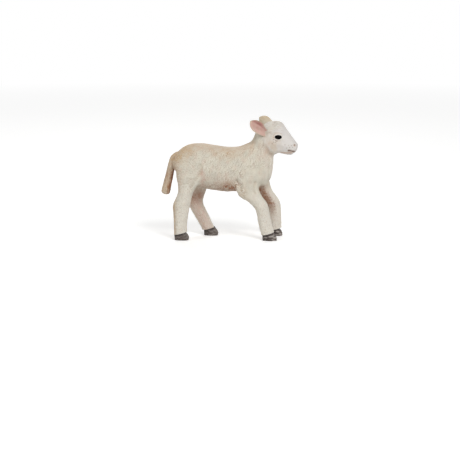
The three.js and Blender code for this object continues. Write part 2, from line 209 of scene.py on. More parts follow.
@dataclass(frozen=True)
class Loft:
    """Oval sections, smoothly joined, with domed ends.

    Attributes:
        sections: The sections, in order.
        start_dome: How far the first end is domed.
        end_dome: How far the last end is domed.
        reach: How far outside its skin the form is worked out.
    """

    sections: tuple[Section, ...]
    start_dome: float = 2.5
    end_dome: float = 1.0
    reach: float = 5.0

    def parts(self) -> Iterator[Part]:
        """Yields a slab between each two sections, and the domes."""
        keys = np.array([(s.x, s.y, s.z, s.lean, s.depth / 2, s.width / 2) for s in self.sections])
        rows = smooth_rows(keys, 5)
        for first, second in zip(rows, rows[1:]):
            yield self._slab(first, second)
        yield self._dome(rows[0], rows[1], self.start_dome)
        yield self._dome(rows[-1], rows[-2], self.end_dome)

    def cut(self, share: float, way: int) -> "Cut":
        """Works out a cut across the loft.

        Args:
            share: Where it lies, as a share of the keys passed.
            way: 1 to keep what lies the way that the section faces, and -1 to keep the rest.

        Returns:
            The cut.
        """
        rows = smooth_rows(np.array([(s.x, s.z, s.lean) for s in self.sections]), 50)
        x, z, lean = rows[round(share * (len(rows) - 1))]
        return Cut((x, 0.0, z), tuple(way * lean_way(lean)))

    def _box(self, *rows: Array) -> tuple[Array, Array]:
        """Returns the box that the given rows matter in."""
        spread = max(row[4:6].max() for row in rows) + self.reach
        middles = np.array([row[:3] for row in rows])
        return middles.min(0) - spread, middles.max(0) + spread

    def _slab(self, first: Array, second: Array) -> Part:
        """Returns the stretch between two rows."""

        def distance(x: Array, y: Array, z: Array) -> Array:
            """Returns the distance at places."""
            ends = []
            for row in (first, second):
                normal = lean_way(row[3])
                normal *= math.copysign(1.0, normal @ (second - first)[:3])
                ends.append((x - row[0]) * normal[0] + (z - row[2]) * normal[2])
            inside = (ends[0] >= -1e-5) & (ends[1] <= 1e-5)
            gap = ends[0] - ends[1]
            share = np.clip(ends[0] / np.where(np.abs(gap) < 1e-6, 1.0, gap), 0.0, 1.0)
            lean = np.radians(first[3] + share * (second[3] - first[3]))
            middle = [first[i] + share * (second[i] - first[i]) for i in range(3)]
            halves = [first[i] + share * (second[i] - first[i]) for i in (4, 5)]
            u = (z - middle[2]) * np.cos(lean) - (x - middle[0]) * np.sin(lean)
            return np.where(inside, oval_distance((u, y - middle[1]), halves), FAR)

        return Part(*self._box(first, second), distance)

    def _dome(self, row: Array, inner: Array, length: float) -> Part:
        """Returns the rounded end past a row."""
        ahead = lean_way(row[3])
        out = ahead * math.copysign(1.0, ahead @ (row - inner)[:3])

        def distance(x: Array, y: Array, z: Array) -> Array:
            """Returns the distance at places."""
            w = (x - row[0]) * out[0] + (z - row[2]) * out[2]
            u = (z - row[2]) * ahead[0] - (x - row[0]) * ahead[2]
            return np.where(w >= -1e-5, oval_distance((u, y - row[1], w), (row[4], row[5], length)), FAR)

        return Part(*self._box(row), distance)


def loft(rows: Rows, start: Sequence[float], units: Sequence[float], **ends: float) -> Loft:
    """Builds a loft from a table.

    Args:
        rows: Along, rise, lean, depth and width of each section.
        start: X and Z that the table is drawn from.
        units: Units of along, rise, depth and width.
        ends: The loft's domes and reach.

    Returns:
        The loft.
    """
    sections = [
        Section(start[0] + a * units[0], start[1] + r * units[1], lean, d * units[2], w * units[3])
        for a, r, lean, d, w in rows
    ]
    return Loft(tuple(sections), **ends)


@dataclass(frozen=True)
class Ball:
    """An ellipsoid.

    Attributes:
        centre: Its middle.
        radii: Half sizes along its own three axes.
        ahead: Direction of its first axis.
        up: Direction near its third axis.
    """

    centre: Point
    radii: Point
    ahead: Point = (1.0, 0.0, 0.0)
    up: Point = (0.0, 0.0, 1.0)

    def on(self, side: int) -> "Ball":
        """Returns the ellipsoid, drawn for the left, on the side given."""
        x, y, z = self.centre
        return replace(self, centre=(x, side * y, z))

    def parts(self) -> Iterator[Part]:
        """Yields the ellipsoid as one stretch."""
        first = unit(self.ahead)
        second = unit(np.cross(self.up, first))
        axes = np.array([first, second, np.cross(first, second)])
        spread = max(self.radii) + 3.0
        centre = np.array(self.centre)

        def distance(x: Array, y: Array, z: Array) -> Array:
            """Returns the distance at places."""
            shifted = (x - centre[0], y - centre[1], z - centre[2])
            local = [sum(axis[i] * shifted[i] for i in range(3)) for axis in axes]
            return oval_distance(local, self.radii)

        yield Part(centre - spread, centre + spread, distance)


@dataclass(frozen=True)
class Cord:
    """A round bead along a line of points.

    Attributes:
        points: The line.
        radius: Radius of the bead.
    """

    points: Rows
    radius: float

    def parts(self) -> Iterator[Part]:
        """Yields each stretch between two points."""
        line = np.array(self.points, float)
        for start, end in zip(line, line[1:]):
            yield self._stretch(start, end)

    def _stretch(self, start: Array, end: Array) -> Part:
        """Returns one stretch of the bead."""
        along = end - start
        spread = self.radius + 2.0

        def distance(x: Array, y: Array, z: Array) -> Array:
            """Returns the distance at places."""
            shifted = (x - start[0], y - start[1], z - start[2])
            share = np.clip(sum(a * s for a, s in zip(along, shifted)) / (along @ along), 0.0, 1.0)
            gaps = [s - share * a for a, s in zip(along, shifted)]
            return np.sqrt(sum(gap * gap for gap in gaps)) - self.radius

        return Part(np.minimum(start, end) - spread, np.maximum(start, end) + spread, distance)


@dataclass(frozen=True)
class Turned:
    """A form turned about the upright line through a pivot.

    Attributes:
        form: The form as drawn.
        pivot: X and Y of the upright line.
        degrees: The turn, anticlockwise from above.
    """

    form: Form
    pivot: tuple[float, float]
    degrees: float

    def parts(self) -> Iterator[Part]:
        """Yields the form's stretches, turned."""
        for part in self.form.parts():
            yield self._turn(part)

    def _turn(self, part: Part) -> Part:
        """Returns one stretch, turned."""
        corners = np.array([(x, y) for x in (part.low[0], part.high[0]) for y in (part.low[1], part.high[1])])
        moved = np.array(spin(*corners.T, self.pivot, self.degrees))

        def distance(x: Array, y: Array, z: Array) -> Array:
            """Returns the distance at places."""
            return part.distance(*spin(x, y, self.pivot, -self.degrees), z)

        return Part(np.append(moved.min(1), part.low[2]), np.append(moved.max(1), part.high[2]), distance)


def blend_min(a: Array, b: Array, radius: float) -> Array:
    """Returns the lesser of two distances, with a fillet where they meet."""
    if radius <= 0:
        return np.minimum(a, b)
    near = np.maximum(radius - np.abs(a - b), 0.0) / radius
    return np.minimum(a, b) - near * near * radius * 0.25


class Clay:
    """A block of clay: distances to the modelled surface on a grid."""

    def __init__(self, low: Sequence[float], high: Sequence[float], step: float) -> None:
        """Sets up an empty block.

        Args:
            low: Lowest corner.
            high: Highest corner.
            step: Grid step.
        """
        self.low = np.asarray(low, float)
        self.step = step
        self.shape = tuple(np.ceil((np.asarray(high, float) - self.low) / step).astype(int) + 1)
        self.values = np.full(self.shape, FAR, np.float32)
        self.slopes: Array | None = None

    def _places(self, first: Sequence[int], last: Sequence[int]) -> tuple[Array, ...]:
        """Returns X, Y and Z from one cell up to another, each shaped to spread over the block."""
        return np.ix_(*(self.low[i] + self.step * np.arange(first[i], last[i]) for i in range(3)))

    def reading(self, form: Form) -> Array:
        """Returns the distance to one form over the whole block."""
        out = np.full(self.shape, FAR, np.float32)
        for part in form.parts():
            first = np.clip(np.floor((part.low - self.low) / self.step), 0, self.shape).astype(int)
            last = np.clip(np.ceil((part.high - self.low) / self.step) + 1, 0, self.shape).astype(int)
            if (last <= first).any():
                continue
            window = tuple(slice(a, b) for a, b in zip(first, last))
            out[window] = np.minimum(out[window], part.distance(*self._places(first, last)))
        return out

    def add(self, form: Form, blend: float = 0.0) -> None:
        """Presses a form on, with a fillet of the given size."""
        self.values = blend_min(self.values, self.reading(form), blend)

    def carve(self, form: Form, blend: float = 0.0) -> None:
        """Cuts a form away, with a fillet of the given size."""
        self.values = -blend_min(-self.values, self.reading(form), blend)

    def beyond(self, point: Sequence[float], normal: Sequence[float]) -> Array:
        """Returns how far each place lies past a plane, the way that its normal points."""
        away = unit(normal)
        places = self._places((0, 0, 0), self.shape)
        return sum((place - at) * share for place, at, share in zip(places, point, away)).astype(np.float32)

    def _read(self, grid: Array, points: Array) -> Array:
        """Returns a grid's values at points, mixed from the eight nearest."""
        place = (points - self.low) / self.step
        cell = np.clip(np.floor(place).astype(int), 0, np.array(self.shape) - 2)
        share = np.clip(place - cell, 0.0, 1.0)
        total = 0.0
        for corner in np.ndindex(2, 2, 2):
            weight = np.prod(np.where(corner, share, 1 - share), axis=1)
            values = grid[cell[:, 0] + corner[0], cell[:, 1] + corner[1], cell[:, 2] + corner[2]]
            total = total + (weight[:, None] if values.ndim > 1 else weight) * values
        return total

    def depth_at(self, points: Array) -> Array:
        """Returns the distance to the surface at points."""
        return self._read(self.values, points)

    def slope_at(self, points: Array) -> Array:
        """Returns the direction out of the surface, and how fast the distance grows along it."""
        if self.slopes is None:
            self.slopes = np.stack(np.gradient(self.values, self.step), axis=-1)
        return self._read(self.slopes, points)

    def settle(self, points: Array, turns: int = 2) -> Array:
        """Moves points onto the surface."""
        for _ in range(turns):
            slope = self.slope_at(points)
            steep = np.maximum((slope**2).sum(1), 0.05)
            move = (self.depth_at(points) / steep)[:, None] * slope
            points = points - np.clip(move, -self.step, self.step)
        return points

    def normals(self, points: Array) -> Array:
        """Returns the outward unit normals at points."""
        return unit_rows(self.slope_at(points))

    def skin(self) -> "Skin":
        """Returns the surface as a net of quads, one point to each cell that it crosses."""
        inside = self.values < 0
        n = np.array(self.shape)
        corners = sum(
            inside[a : n[0] - 1 + a, b : n[1] - 1 + b, c : n[2] - 1 + c].astype(np.int8)
            for a, b, c in np.ndindex(2, 2, 2)
        )
        active = (corners > 0) & (corners < 8)
        cells = np.argwhere(active)
        number = np.full(active.shape, -1, np.int64)
        number[active] = np.arange(len(cells))
        total = np.zeros((len(cells), 3))
        hits = np.zeros(len(cells))
        for axis in range(3):
            others = [i for i in range(3) if i != axis]
            for i, j in np.ndindex(2, 2):
                start = cells.copy()
                start[:, others[0]] += i
                start[:, others[1]] += j
                end = start.copy()
                end[:, axis] += 1
                a, b = self.values[tuple(start.T)], self.values[tuple(end.T)]
                cross = (a < 0) != (b < 0)
                place = start.astype(float)
                place[:, axis] += np.where(cross, a / np.where(cross, a - b, 1.0), 0.0)
                total += place * cross[:, None]
                hits += cross
        points = self.low + self.step * total / hits[:, None]
        quads = []
        for axis in range(3):
            u, v = np.eye(3, dtype=int)[(axis + 1) % 3], np.eye(3, dtype=int)[(axis + 2) % 3]
            start_side = np.take(inside, range(n[axis] - 1), axis)
            cross = start_side != np.take(inside, range(1, n[axis]), axis)
            edges = np.argwhere(cross)
            rim = ((edges @ u > 0) & (edges @ v > 0)) & ((edges @ u < n @ u - 1) & (edges @ v < n @ v - 1))
            edges = edges[rim]
            loop = [number[tuple((edges - shift).T)] for shift in (u + v, v, 0 * u, u)]
            faces = np.stack(loop, axis=1)
            outward = start_side[tuple(edges.T)]
            quads.append(np.where(outward[:, None], faces, faces[:, ::-1]))
        return Skin(points, np.vstack(quads))

    def fine_skin(self, before: int, after: int) -> "Skin":
        """Nets the surface, and splits the net once.

        Args:
            before: Turns of evening out before the split.
            after: Turns after it.

        Returns:
            The fine surface.
        """
        skin = self.skin()
        skin.relax(self, before)
        skin = skin.split()
        skin.relax(self, after)
        return skin


@dataclass
class Skin:
    """A surface of quads.

    Attributes:
        points: Its corners.
        quads: Four corner numbers to a face, anticlockwise from outside.
    """

    points: Array
    quads: Array

    def _edges(self) -> tuple[Array, Array]:
        """Returns the edges, and each face's four edge numbers."""
        pairs = np.stack([self.quads, np.roll(self.quads, -1, 1)], 2).reshape(-1, 2)
        pairs = np.sort(pairs, 1)
        keys, numbers = np.unique(pairs[:, 0] * len(self.points) + pairs[:, 1], return_inverse=True)
        edges = np.stack([keys // len(self.points), keys % len(self.points)], 1)
        return edges, numbers.reshape(-1, 4)

    def split(self) -> "Skin":
        """Returns the surface with each quad cut into four."""
        edges, sides = self._edges()
        mids = self.points[edges].mean(1)
        hubs = self.points[self.quads].mean(1)
        count = len(self.points)
        hub = count + len(mids) + np.arange(len(hubs))
        side = sides + count
        q = self.quads
        quads = np.vstack([np.stack([q[:, i], side[:, i], hub, side[:, i - 1]], 1) for i in range(4)])
        return Skin(np.vstack([self.points, mids, hubs]), quads)

    def relax(self, clay: Clay, turns: int, pull: float = 0.5) -> None:
        """Evens out the net, and keeps it on the clay's surface."""
        edges, _ = self._edges()
        for _ in range(turns):
            mean = np.stack([self._around(column, edges) for column in self.points.T], axis=1)
            self.points = clay.settle(self.points + pull * (mean - self.points), 1)
        self.points = clay.settle(self.points, 2)

    def _around(self, values: Array, edges: Array) -> Array:
        """Returns the mean value of each corner's neighbours."""
        count = len(self.points)
        first, second = edges.T
        links = np.maximum(np.bincount(edges.ravel(), minlength=count), 1)
        total = np.bincount(first, values[second], count) + np.bincount(second, values[first], count)
        return total / links

    def spread(self, values: Array, turns: int) -> Array:
        """Averages values at the corners over their neighbours, as many times as turns says."""
        edges, _ = self._edges()
        for _ in range(turns):
            values = 0.5 * values + 0.5 * self._around(values, edges)
        return values

    def hollows(self, depth: float) -> Array:
        """Finds grooves and ridges, as a brush feels them.

        Args:
            depth: How far a groove lies below its surroundings where the result is full.

        Returns:
            0.5 on a flat place, up to 1 in a groove and down to 0 on a ridge.
        """
        around = np.stack([self.spread(column, 4) for column in self.points.T], axis=1)
        below = ((around - self.points) * face_normals(self.points, self.quads)).sum(1)
        return np.clip(0.5 + 0.5 * below / depth, 0.0, 1.0)


# Fleece


# Width across a lock over which the strand mask runs from 0 to 1.
STRAND_SPAN = 2.0
# Gives an answer at points of the surface and the normals there.
Field = Callable[[Array, Array], Array]


@dataclass(frozen=True)
class LockStyle:
    """How the locks of one zone are modelled.

    Attributes:
        spacing: From one lock's root to the next.
        length: Length of a lock.
        width: Width of a lock at its fullest.
        height: How far a lock stands out.
        curl: Degrees that a lock turns over its length.
        wander: Degrees that a lock's direction may differ from its neighbours'.
    """

    spacing: float
    length: float
    width: float
    height: float
    curl: float
    wander: float


def near_pairs(points: Array, centres: Array, reach: float) -> Iterator[tuple[Array, Array]]:
    """Finds points that lie near centres, through cells of the size of the reach.

    Args:
        points: The points to find.
        centres: The centres to look round.
        reach: The distance within which every pair is found.

    Yields:
        Point numbers and centre numbers, pair by pair, some beyond the reach too.
    """
    low = np.minimum(points.min(0), centres.min(0)) - 2 * reach
    span = ((np.maximum(points.max(0), centres.max(0)) - low) / reach).astype(np.int64) + 3
    cells = ((points - low) / reach).astype(np.int64)
    keys = (cells[:, 0] * span[1] + cells[:, 1]) * span[2] + cells[:, 2]
    order = np.argsort(keys, kind="stable")
    keys = keys[order]
    homes = ((centres - low) / reach).astype(np.int64)
    for shift in np.ndindex(3, 3, 3):
        cell = homes + np.array(shift) - 1
        wanted = (cell[:, 0] * span[1] + cell[:, 1]) * span[2] + cell[:, 2]
        first = np.searchsorted(keys, wanted, "left")
        count = np.searchsorted(keys, wanted, "right") - first
        if not count.any():
            continue
        centre = np.repeat(np.arange(len(centres)), count)
        within = np.arange(count.sum()) - np.repeat(np.cumsum(count) - count, count)
        yield order[np.repeat(first, count) + within], centre


class Fleece:
    """Locks of fleece, each a raised stroke laid along the surface."""

    STEPS = 7

    def __init__(self, clay: Clay, seed: int) -> None:
        """Starts a bare coat.

        Args:
            clay: The smooth form that the locks lie on.
            seed: Seed of the random numbers.
        """
        self.clay = clay
        self.dice = np.random.default_rng(seed)
        self.strokes: list[Array] = []

    def comb(self, surface: Skin, style: LockStyle, zone: Field, flow: Field) -> int:
        """Lays the locks of one zone.

        Args:
            surface: A net of the form, for the roots.
            style: How the locks are modelled.
            zone: Gives 0 to 1 at points and normals: how thick the zone's locks grow there.
            flow: Gives the direction that locks run at points and normals.

        Returns:
            The number of locks laid.
        """
        corners = surface.points[surface.quads]
        area = 0.5 * np.linalg.norm(
            np.cross(corners[:, 2] - corners[:, 0], corners[:, 3] - corners[:, 1]), axis=1
        )
        count = int(8 * area.sum() / style.spacing**2)
        faces = self.dice.choice(len(area), count, p=area / area.sum())
        mix = self.dice.random((count, 2))
        edge_a = corners[faces, 0] + (corners[faces, 1] - corners[faces, 0]) * mix[:, :1]
        edge_b = corners[faces, 3] + (corners[faces, 2] - corners[faces, 3]) * mix[:, :1]
        roots = edge_a + (edge_b - edge_a) * mix[:, 1:]
        _, first = np.unique(np.floor(roots / style.spacing).astype(int), axis=0, return_index=True)
        roots = self.clay.settle(roots[np.sort(first)])
        thick = zone(roots, self.clay.normals(roots))
        grows = self.dice.random(len(roots)) < 1.6 * thick
        if grows.any():
            self._lay(roots[grows], style, flow, np.clip(1.3 * thick[grows], 0.25, 1.0))
        return int(grows.sum())

    def _lay(self, place: Array, style: LockStyle, flow: Field, strength: Array) -> None:
        """Walks each lock from its root along the surface."""
        count = len(place)
        dice = self.dice
        length = style.length * dice.uniform(0.65, 1.3, count)
        half = style.width / 2 * dice.uniform(0.7, 1.2, count)
        height = style.height * dice.uniform(0.7, 1.15, count) * strength
        level = style.height * dice.uniform(0.0, 0.55, count) * strength
        curl = np.radians(style.curl) * dice.uniform(0.5, 1.2, count) * dice.choice([-1, 1], count)
        bend = dice.uniform(0.6, 1.6, count)
        phase = dice.uniform(-0.6, 0.6, count)
        turn = np.radians(style.wander) * dice.normal(0.0, 0.6, count)
        # A lock starts above its root, so that it lies centred on the place.
        place = place - 0.45 * length[:, None] * self._heading(place, flow, turn)
        place = self.clay.settle(place)
        for step in range(self.STEPS):
            share = step / self.STEPS
            angle = turn + curl * np.sin(math.pi * bend * (share - 0.5) + phase)
            heading = self._heading(place, flow, angle)
            onward = self.clay.settle(place + heading * (length / self.STEPS)[:, None], 1)
            side = np.cross(self.clay.normals(place), heading)
            shape = np.stack([half, height, level, np.full(count, share), phase], 1)
            self.strokes.append(np.hstack([place, onward, side, shape]))
            place = onward

    def _heading(self, place: Array, flow: Field, angle: Array) -> Array:
        """Returns the flow at each place, within the surface and turned by an angle."""
        normal = self.clay.normals(place)
        run = flow(place, normal)
        run = unit_rows(run - (run * normal).sum(1)[:, None] * normal)
        across = np.cross(normal, run)
        return run * np.cos(angle)[:, None] + across * np.sin(angle)[:, None]

    def relief(self, points: Array) -> tuple[Array, Array]:
        """Works out the locks at points of the smooth surface.

        Args:
            points: The points.

        Returns:
            How far the locks stand out, and where across its lock each point lies, from 0 to 1 on a
            STRAND_SPAN that is shifted at random from lock to lock.
        """
        strokes = np.vstack(self.strokes)
        middles = (strokes[:, :3] + strokes[:, 3:6]) / 2
        near = ((middles > points.min(0) - 1) & (middles < points.max(0) + 1)).all(1)
        middles, strokes = middles[near], strokes[near]
        starts, sides = strokes[:, :3], strokes[:, 6:9]
        half, height, level, begun, phase = strokes[:, 9:].T
        along = strokes[:, 3:6] - starts
        length_2 = np.maximum((along**2).sum(1), 1e-9)
        reach = float(half.max() + np.sqrt(length_2.max()) / 2)
        hits, rises, strands = [], [], []
        for point, lock in near_pairs(points, middles, reach):
            gap = points[point] - starts[lock]
            t = np.clip((gap * along[lock]).sum(1) / length_2[lock], 0.0, 1.0)
            away = np.sqrt(((gap - t[:, None] * along[lock]) ** 2).sum(1))
            share = begun[lock] + t / self.STEPS
            swell = np.sqrt(np.clip((share + 0.04) / 0.3, 0, 1))
            taper = 1 - 0.85 * np.clip((share - 0.4) / 0.6, 0, 1) ** 1.4
            across = away / (half[lock] * swell * taper)
            hit = across < 1
            point, lock, share, across = point[hit], lock[hit], share[hit], across[hit]
            round_off = (1 - across**2) ** 0.6
            hits.append(point)
            rises.append(round_off * (level[lock] + height[lock] * (0.6 + 0.4 * share)))
            strands.append(0.5 + ((gap[hit] * sides[lock]).sum(1) + 0.5 * phase[lock]) / STRAND_SPAN)
        hit, rise, strand = np.concatenate(hits), np.concatenate(rises), np.concatenate(strands)
        order = np.lexsort((rise, hit))
        hit, rise, strand = hit[order], rise[order], strand[order]
        last = np.append(hit[1:] != hit[:-1], True)
        top, place = np.zeros(len(points)), np.full(len(points), 0.5)
        top[hit[last]] = rise[last]
        place[hit[last]] = strand[last]
        felt = 0.045 + 0.025 * drift(points, 0.9, 77)
        return np.maximum(top, felt), place


# Meshes


MASKS = ("groove", "tan", "brown", "rose", "pale", "strand")


@dataclass(frozen=True)
class Cut:
    """A flat cut.

    Attributes:
        point: A place on the cut.
        keep: Direction to the side that stays.
    """

    point: Point
    keep: Point

    def flipped(self) -> "Cut":
        """Returns the same cut with the other side kept."""
        return Cut(self.point, tuple(-a for a in self.keep))


def face_normals(points: Array, quads: Array) -> Array:
    """Returns each corner's unit normal, from the faces round it."""
    corners = points[quads]
    cross = np.cross(corners[:, 2] - corners[:, 0], corners[:, 3] - corners[:, 1])
    out = np.zeros_like(points)
    for i in range(3):
        for j in range(4):
            out[:, i] += np.bincount(quads[:, j], cross[:, i], len(points))
    return unit_rows(out)


def drift(points: Array, size: float, seed: int) -> Array:
    """Returns a soft random value from -1 to 1 that changes over the size given."""
    dice = np.random.default_rng(seed)
    waves = dice.normal(size=(6, 3))
    waves *= (2 * math.pi / size) * dice.uniform(0.7, 1.4, (6, 1)) / np.linalg.norm(waves, axis=1)[:, None]
    phases = dice.uniform(0, 2 * math.pi, 6)
    return np.clip(np.sin(points @ waves.T + phases).sum(1) / 2.6, -1.0, 1.0)


@dataclass
class Moulding:
    """A finished piece, ready to hand over.

    Attributes:
        node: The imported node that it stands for.
        slot: The material slot of the record.
        skin: Its surface.
        masks: How much of each paint lies at each corner.
        cuts: Flat cuts that part it from its neighbours.
    """

    node: str
    slot: str
    skin: Skin
    masks: dict[str, Array]
    cuts: tuple[Cut, ...] = ()

    def hand_over(self, shift: Array, material: bpy.types.Material) -> bpy.types.Object:
        """Makes the Blender object, cuts it and puts it in the frame.

        Args:
            shift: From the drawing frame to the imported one.
            material: Its finish.

        Returns:
            The object.
        """
        name = f"painted_{self.node}"
        points, quads = self.skin.points, self.skin.quads
        mesh = bpy.data.meshes.new(name)
        mesh.vertices.add(len(points))
        mesh.vertices.foreach_set("co", ((points + shift) * MM).astype(np.float32).ravel())
        mesh.loops.add(quads.size)
        mesh.loops.foreach_set("vertex_index", quads.astype(np.int32).ravel())
        mesh.polygons.add(len(quads))
        mesh.polygons.foreach_set("loop_start", np.arange(0, quads.size, 4, dtype=np.int32))
        for mask in MASKS:
            values = self.masks.get(mask, np.zeros(len(points)))
            layer = mesh.attributes.new(mask, "FLOAT", "POINT")
            layer.data.foreach_set("value", np.clip(values, 0, 1).astype(np.float32))
        mesh.update(calc_edges=True)
        mesh.validate()
        mesh.shade_smooth()
        piece = put(name, mesh)
        self._cut(mesh, shift)
        mesh.materials.append(material)
        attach(piece, "root")
        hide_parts(self.node)
        log.info("%s: %d faces", name, len(mesh.polygons))
        return piece

    def _cut(self, mesh: bpy.types.Mesh, shift: Array) -> None:
        """Makes the flat cuts, and closes each with a sharp-edged cap."""
        sheet = bmesh.new()
        sheet.from_mesh(mesh)
        for cut in self.cuts:
            bmesh.ops.bisect_plane(
                sheet,
                geom=[*sheet.verts, *sheet.edges, *sheet.faces],
                dist=1e-7,
                plane_co=Vector((np.array(cut.point) + shift) * MM),
                plane_no=-Vector(cut.keep),
                clear_outer=True,
            )
            rim = [edge for edge in sheet.edges if edge.is_boundary]
            caps = bmesh.ops.holes_fill(sheet, edges=rim, sides=0)["faces"]
            bmesh.ops.triangulate(sheet, faces=caps)
            for edge in rim:
                edge.smooth = False
        bmesh.ops.recalc_face_normals(sheet, faces=sheet.faces)
        sheet.to_mesh(mesh)
        sheet.free()
        mesh.update()


def laid_line(clay: Clay, points: Sequence[Sequence[float]], sink: float = 0.0) -> Rows:
    """Lays a line of points on the clay's surface, or below it by sink."""
    line = clay.settle(np.array(points, float), 6)
    return tuple(tuple(point) for point in line - sink * clay.normals(line))


@dataclass(frozen=True)
class Dab:
    """A touch of paint along a line.

    Attributes:
        line: The line.
        reach: How far from the line the paint ends.
        paint: Name of the mask that it is put in.
        strength: How much paint.
    """

    line: Rows
    reach: float
    paint: str
    strength: float

    def touch(self, points: Array, masks: dict[str, Array]) -> None:
        """Puts the paint on."""
        line = np.array(self.line)
        near = ((points > line.min(0) - self.reach) & (points < line.max(0) + self.reach)).all(1)
        spots = points[near]
        away = np.full(len(spots), FAR)
        for start, end in zip(line, line[1:] if len(line) > 1 else line):
            along = end - start
            share = np.clip((spots - start) @ along / max(along @ along, 1e-9), 0.0, 1.0)
            away = np.minimum(away, np.linalg.norm(spots - start - share[:, None] * along, axis=1))
        fresh = self.strength * ramp(away, self.reach, 0.3 * self.reach)
        if self.paint != "pale":
            masks["pale"][near] *= 1 - fresh
        masks[self.paint][near] = np.maximum(masks[self.paint][near], fresh)


# The lamb's sub-assemblies


@dataclass(frozen=True)
class Trunk:
    """The barrel of the body and the neck.

    Attributes:
        length: Unit of length along the body.
        height: Height of the barrel's middle.
        depth: Unit of depth of the barrel.
        width: Unit of width of the barrel.
        neck_depth: Unit of depth of the neck.
        neck_width: Unit of width of the neck.
        barrel: Rows of along, rise, lean, depth and width, in those units.
        neck: Rows of along, height, lean, depth and width, in those units.
        head_seam: Where the head parts from the neck, as a share of the neck.
    """

    length: float = 42.0
    height: float = 31.0
    depth: float = 19.4
    width: float = 17.8
    neck_depth: float = 12.0
    neck_width: float = 9.8
    barrel: Rows = (
        (-0.562, 0.08, 9, 0.33, 0.5),
        (-0.532, 0.035, 4, 0.59, 0.72),
        (-0.47, 0.03, 3, 0.83, 0.88),
        (-0.385, 0.034, 2, 0.975, 0.93),
        (-0.28, 0.035, 1, 1, 0.93),
        (-0.165, 0, 0, 1, 0.945),
        (-0.048, -0.034, 0, 0.995, 0.99),
        (0.07, -0.034, 0, 0.985, 1),
        (0.18, 0, 0, 1.01, 0.95),
        (0.27, 0, 2, 0.97, 0.85),
        (0.354, -0.02, 2, 0.82, 0.68),
        (0.407, -0.018, 1, 0.53, 0.46),
    )
    neck: Rows = (
        (0.24, 0.97, 52, 1.15, 1.1),
        (0.3, 1.13, 50, 1.16, 1.2),
        (0.335, 1.235, 47, 1, 1.06),
        (0.36, 1.322, 40, 1, 1),
        (0.4, 1.39, 37, 1.02, 0.96),
        (0.442, 1.448, 37, 0.82, 0.77),
    )
    head_seam: float = 0.66

    def barrel_form(self) -> Loft:
        """Returns the barrel."""
        units = (self.length, self.depth, self.depth, self.width)
        return loft(self.barrel, (0.0, self.height), units, start_dome=1.1, end_dome=1.2)

    def neck_form(self) -> Loft:
        """Returns the neck."""
        units = (self.length, self.height, self.neck_depth, self.neck_width)
        return loft(self.neck, (0.0, 0.0), units, start_dome=2.0, end_dome=2.0)

    def head_cut(self) -> Cut:
        """Returns the cut that keeps the head."""
        return self.neck_form().cut(self.head_seam, 1)


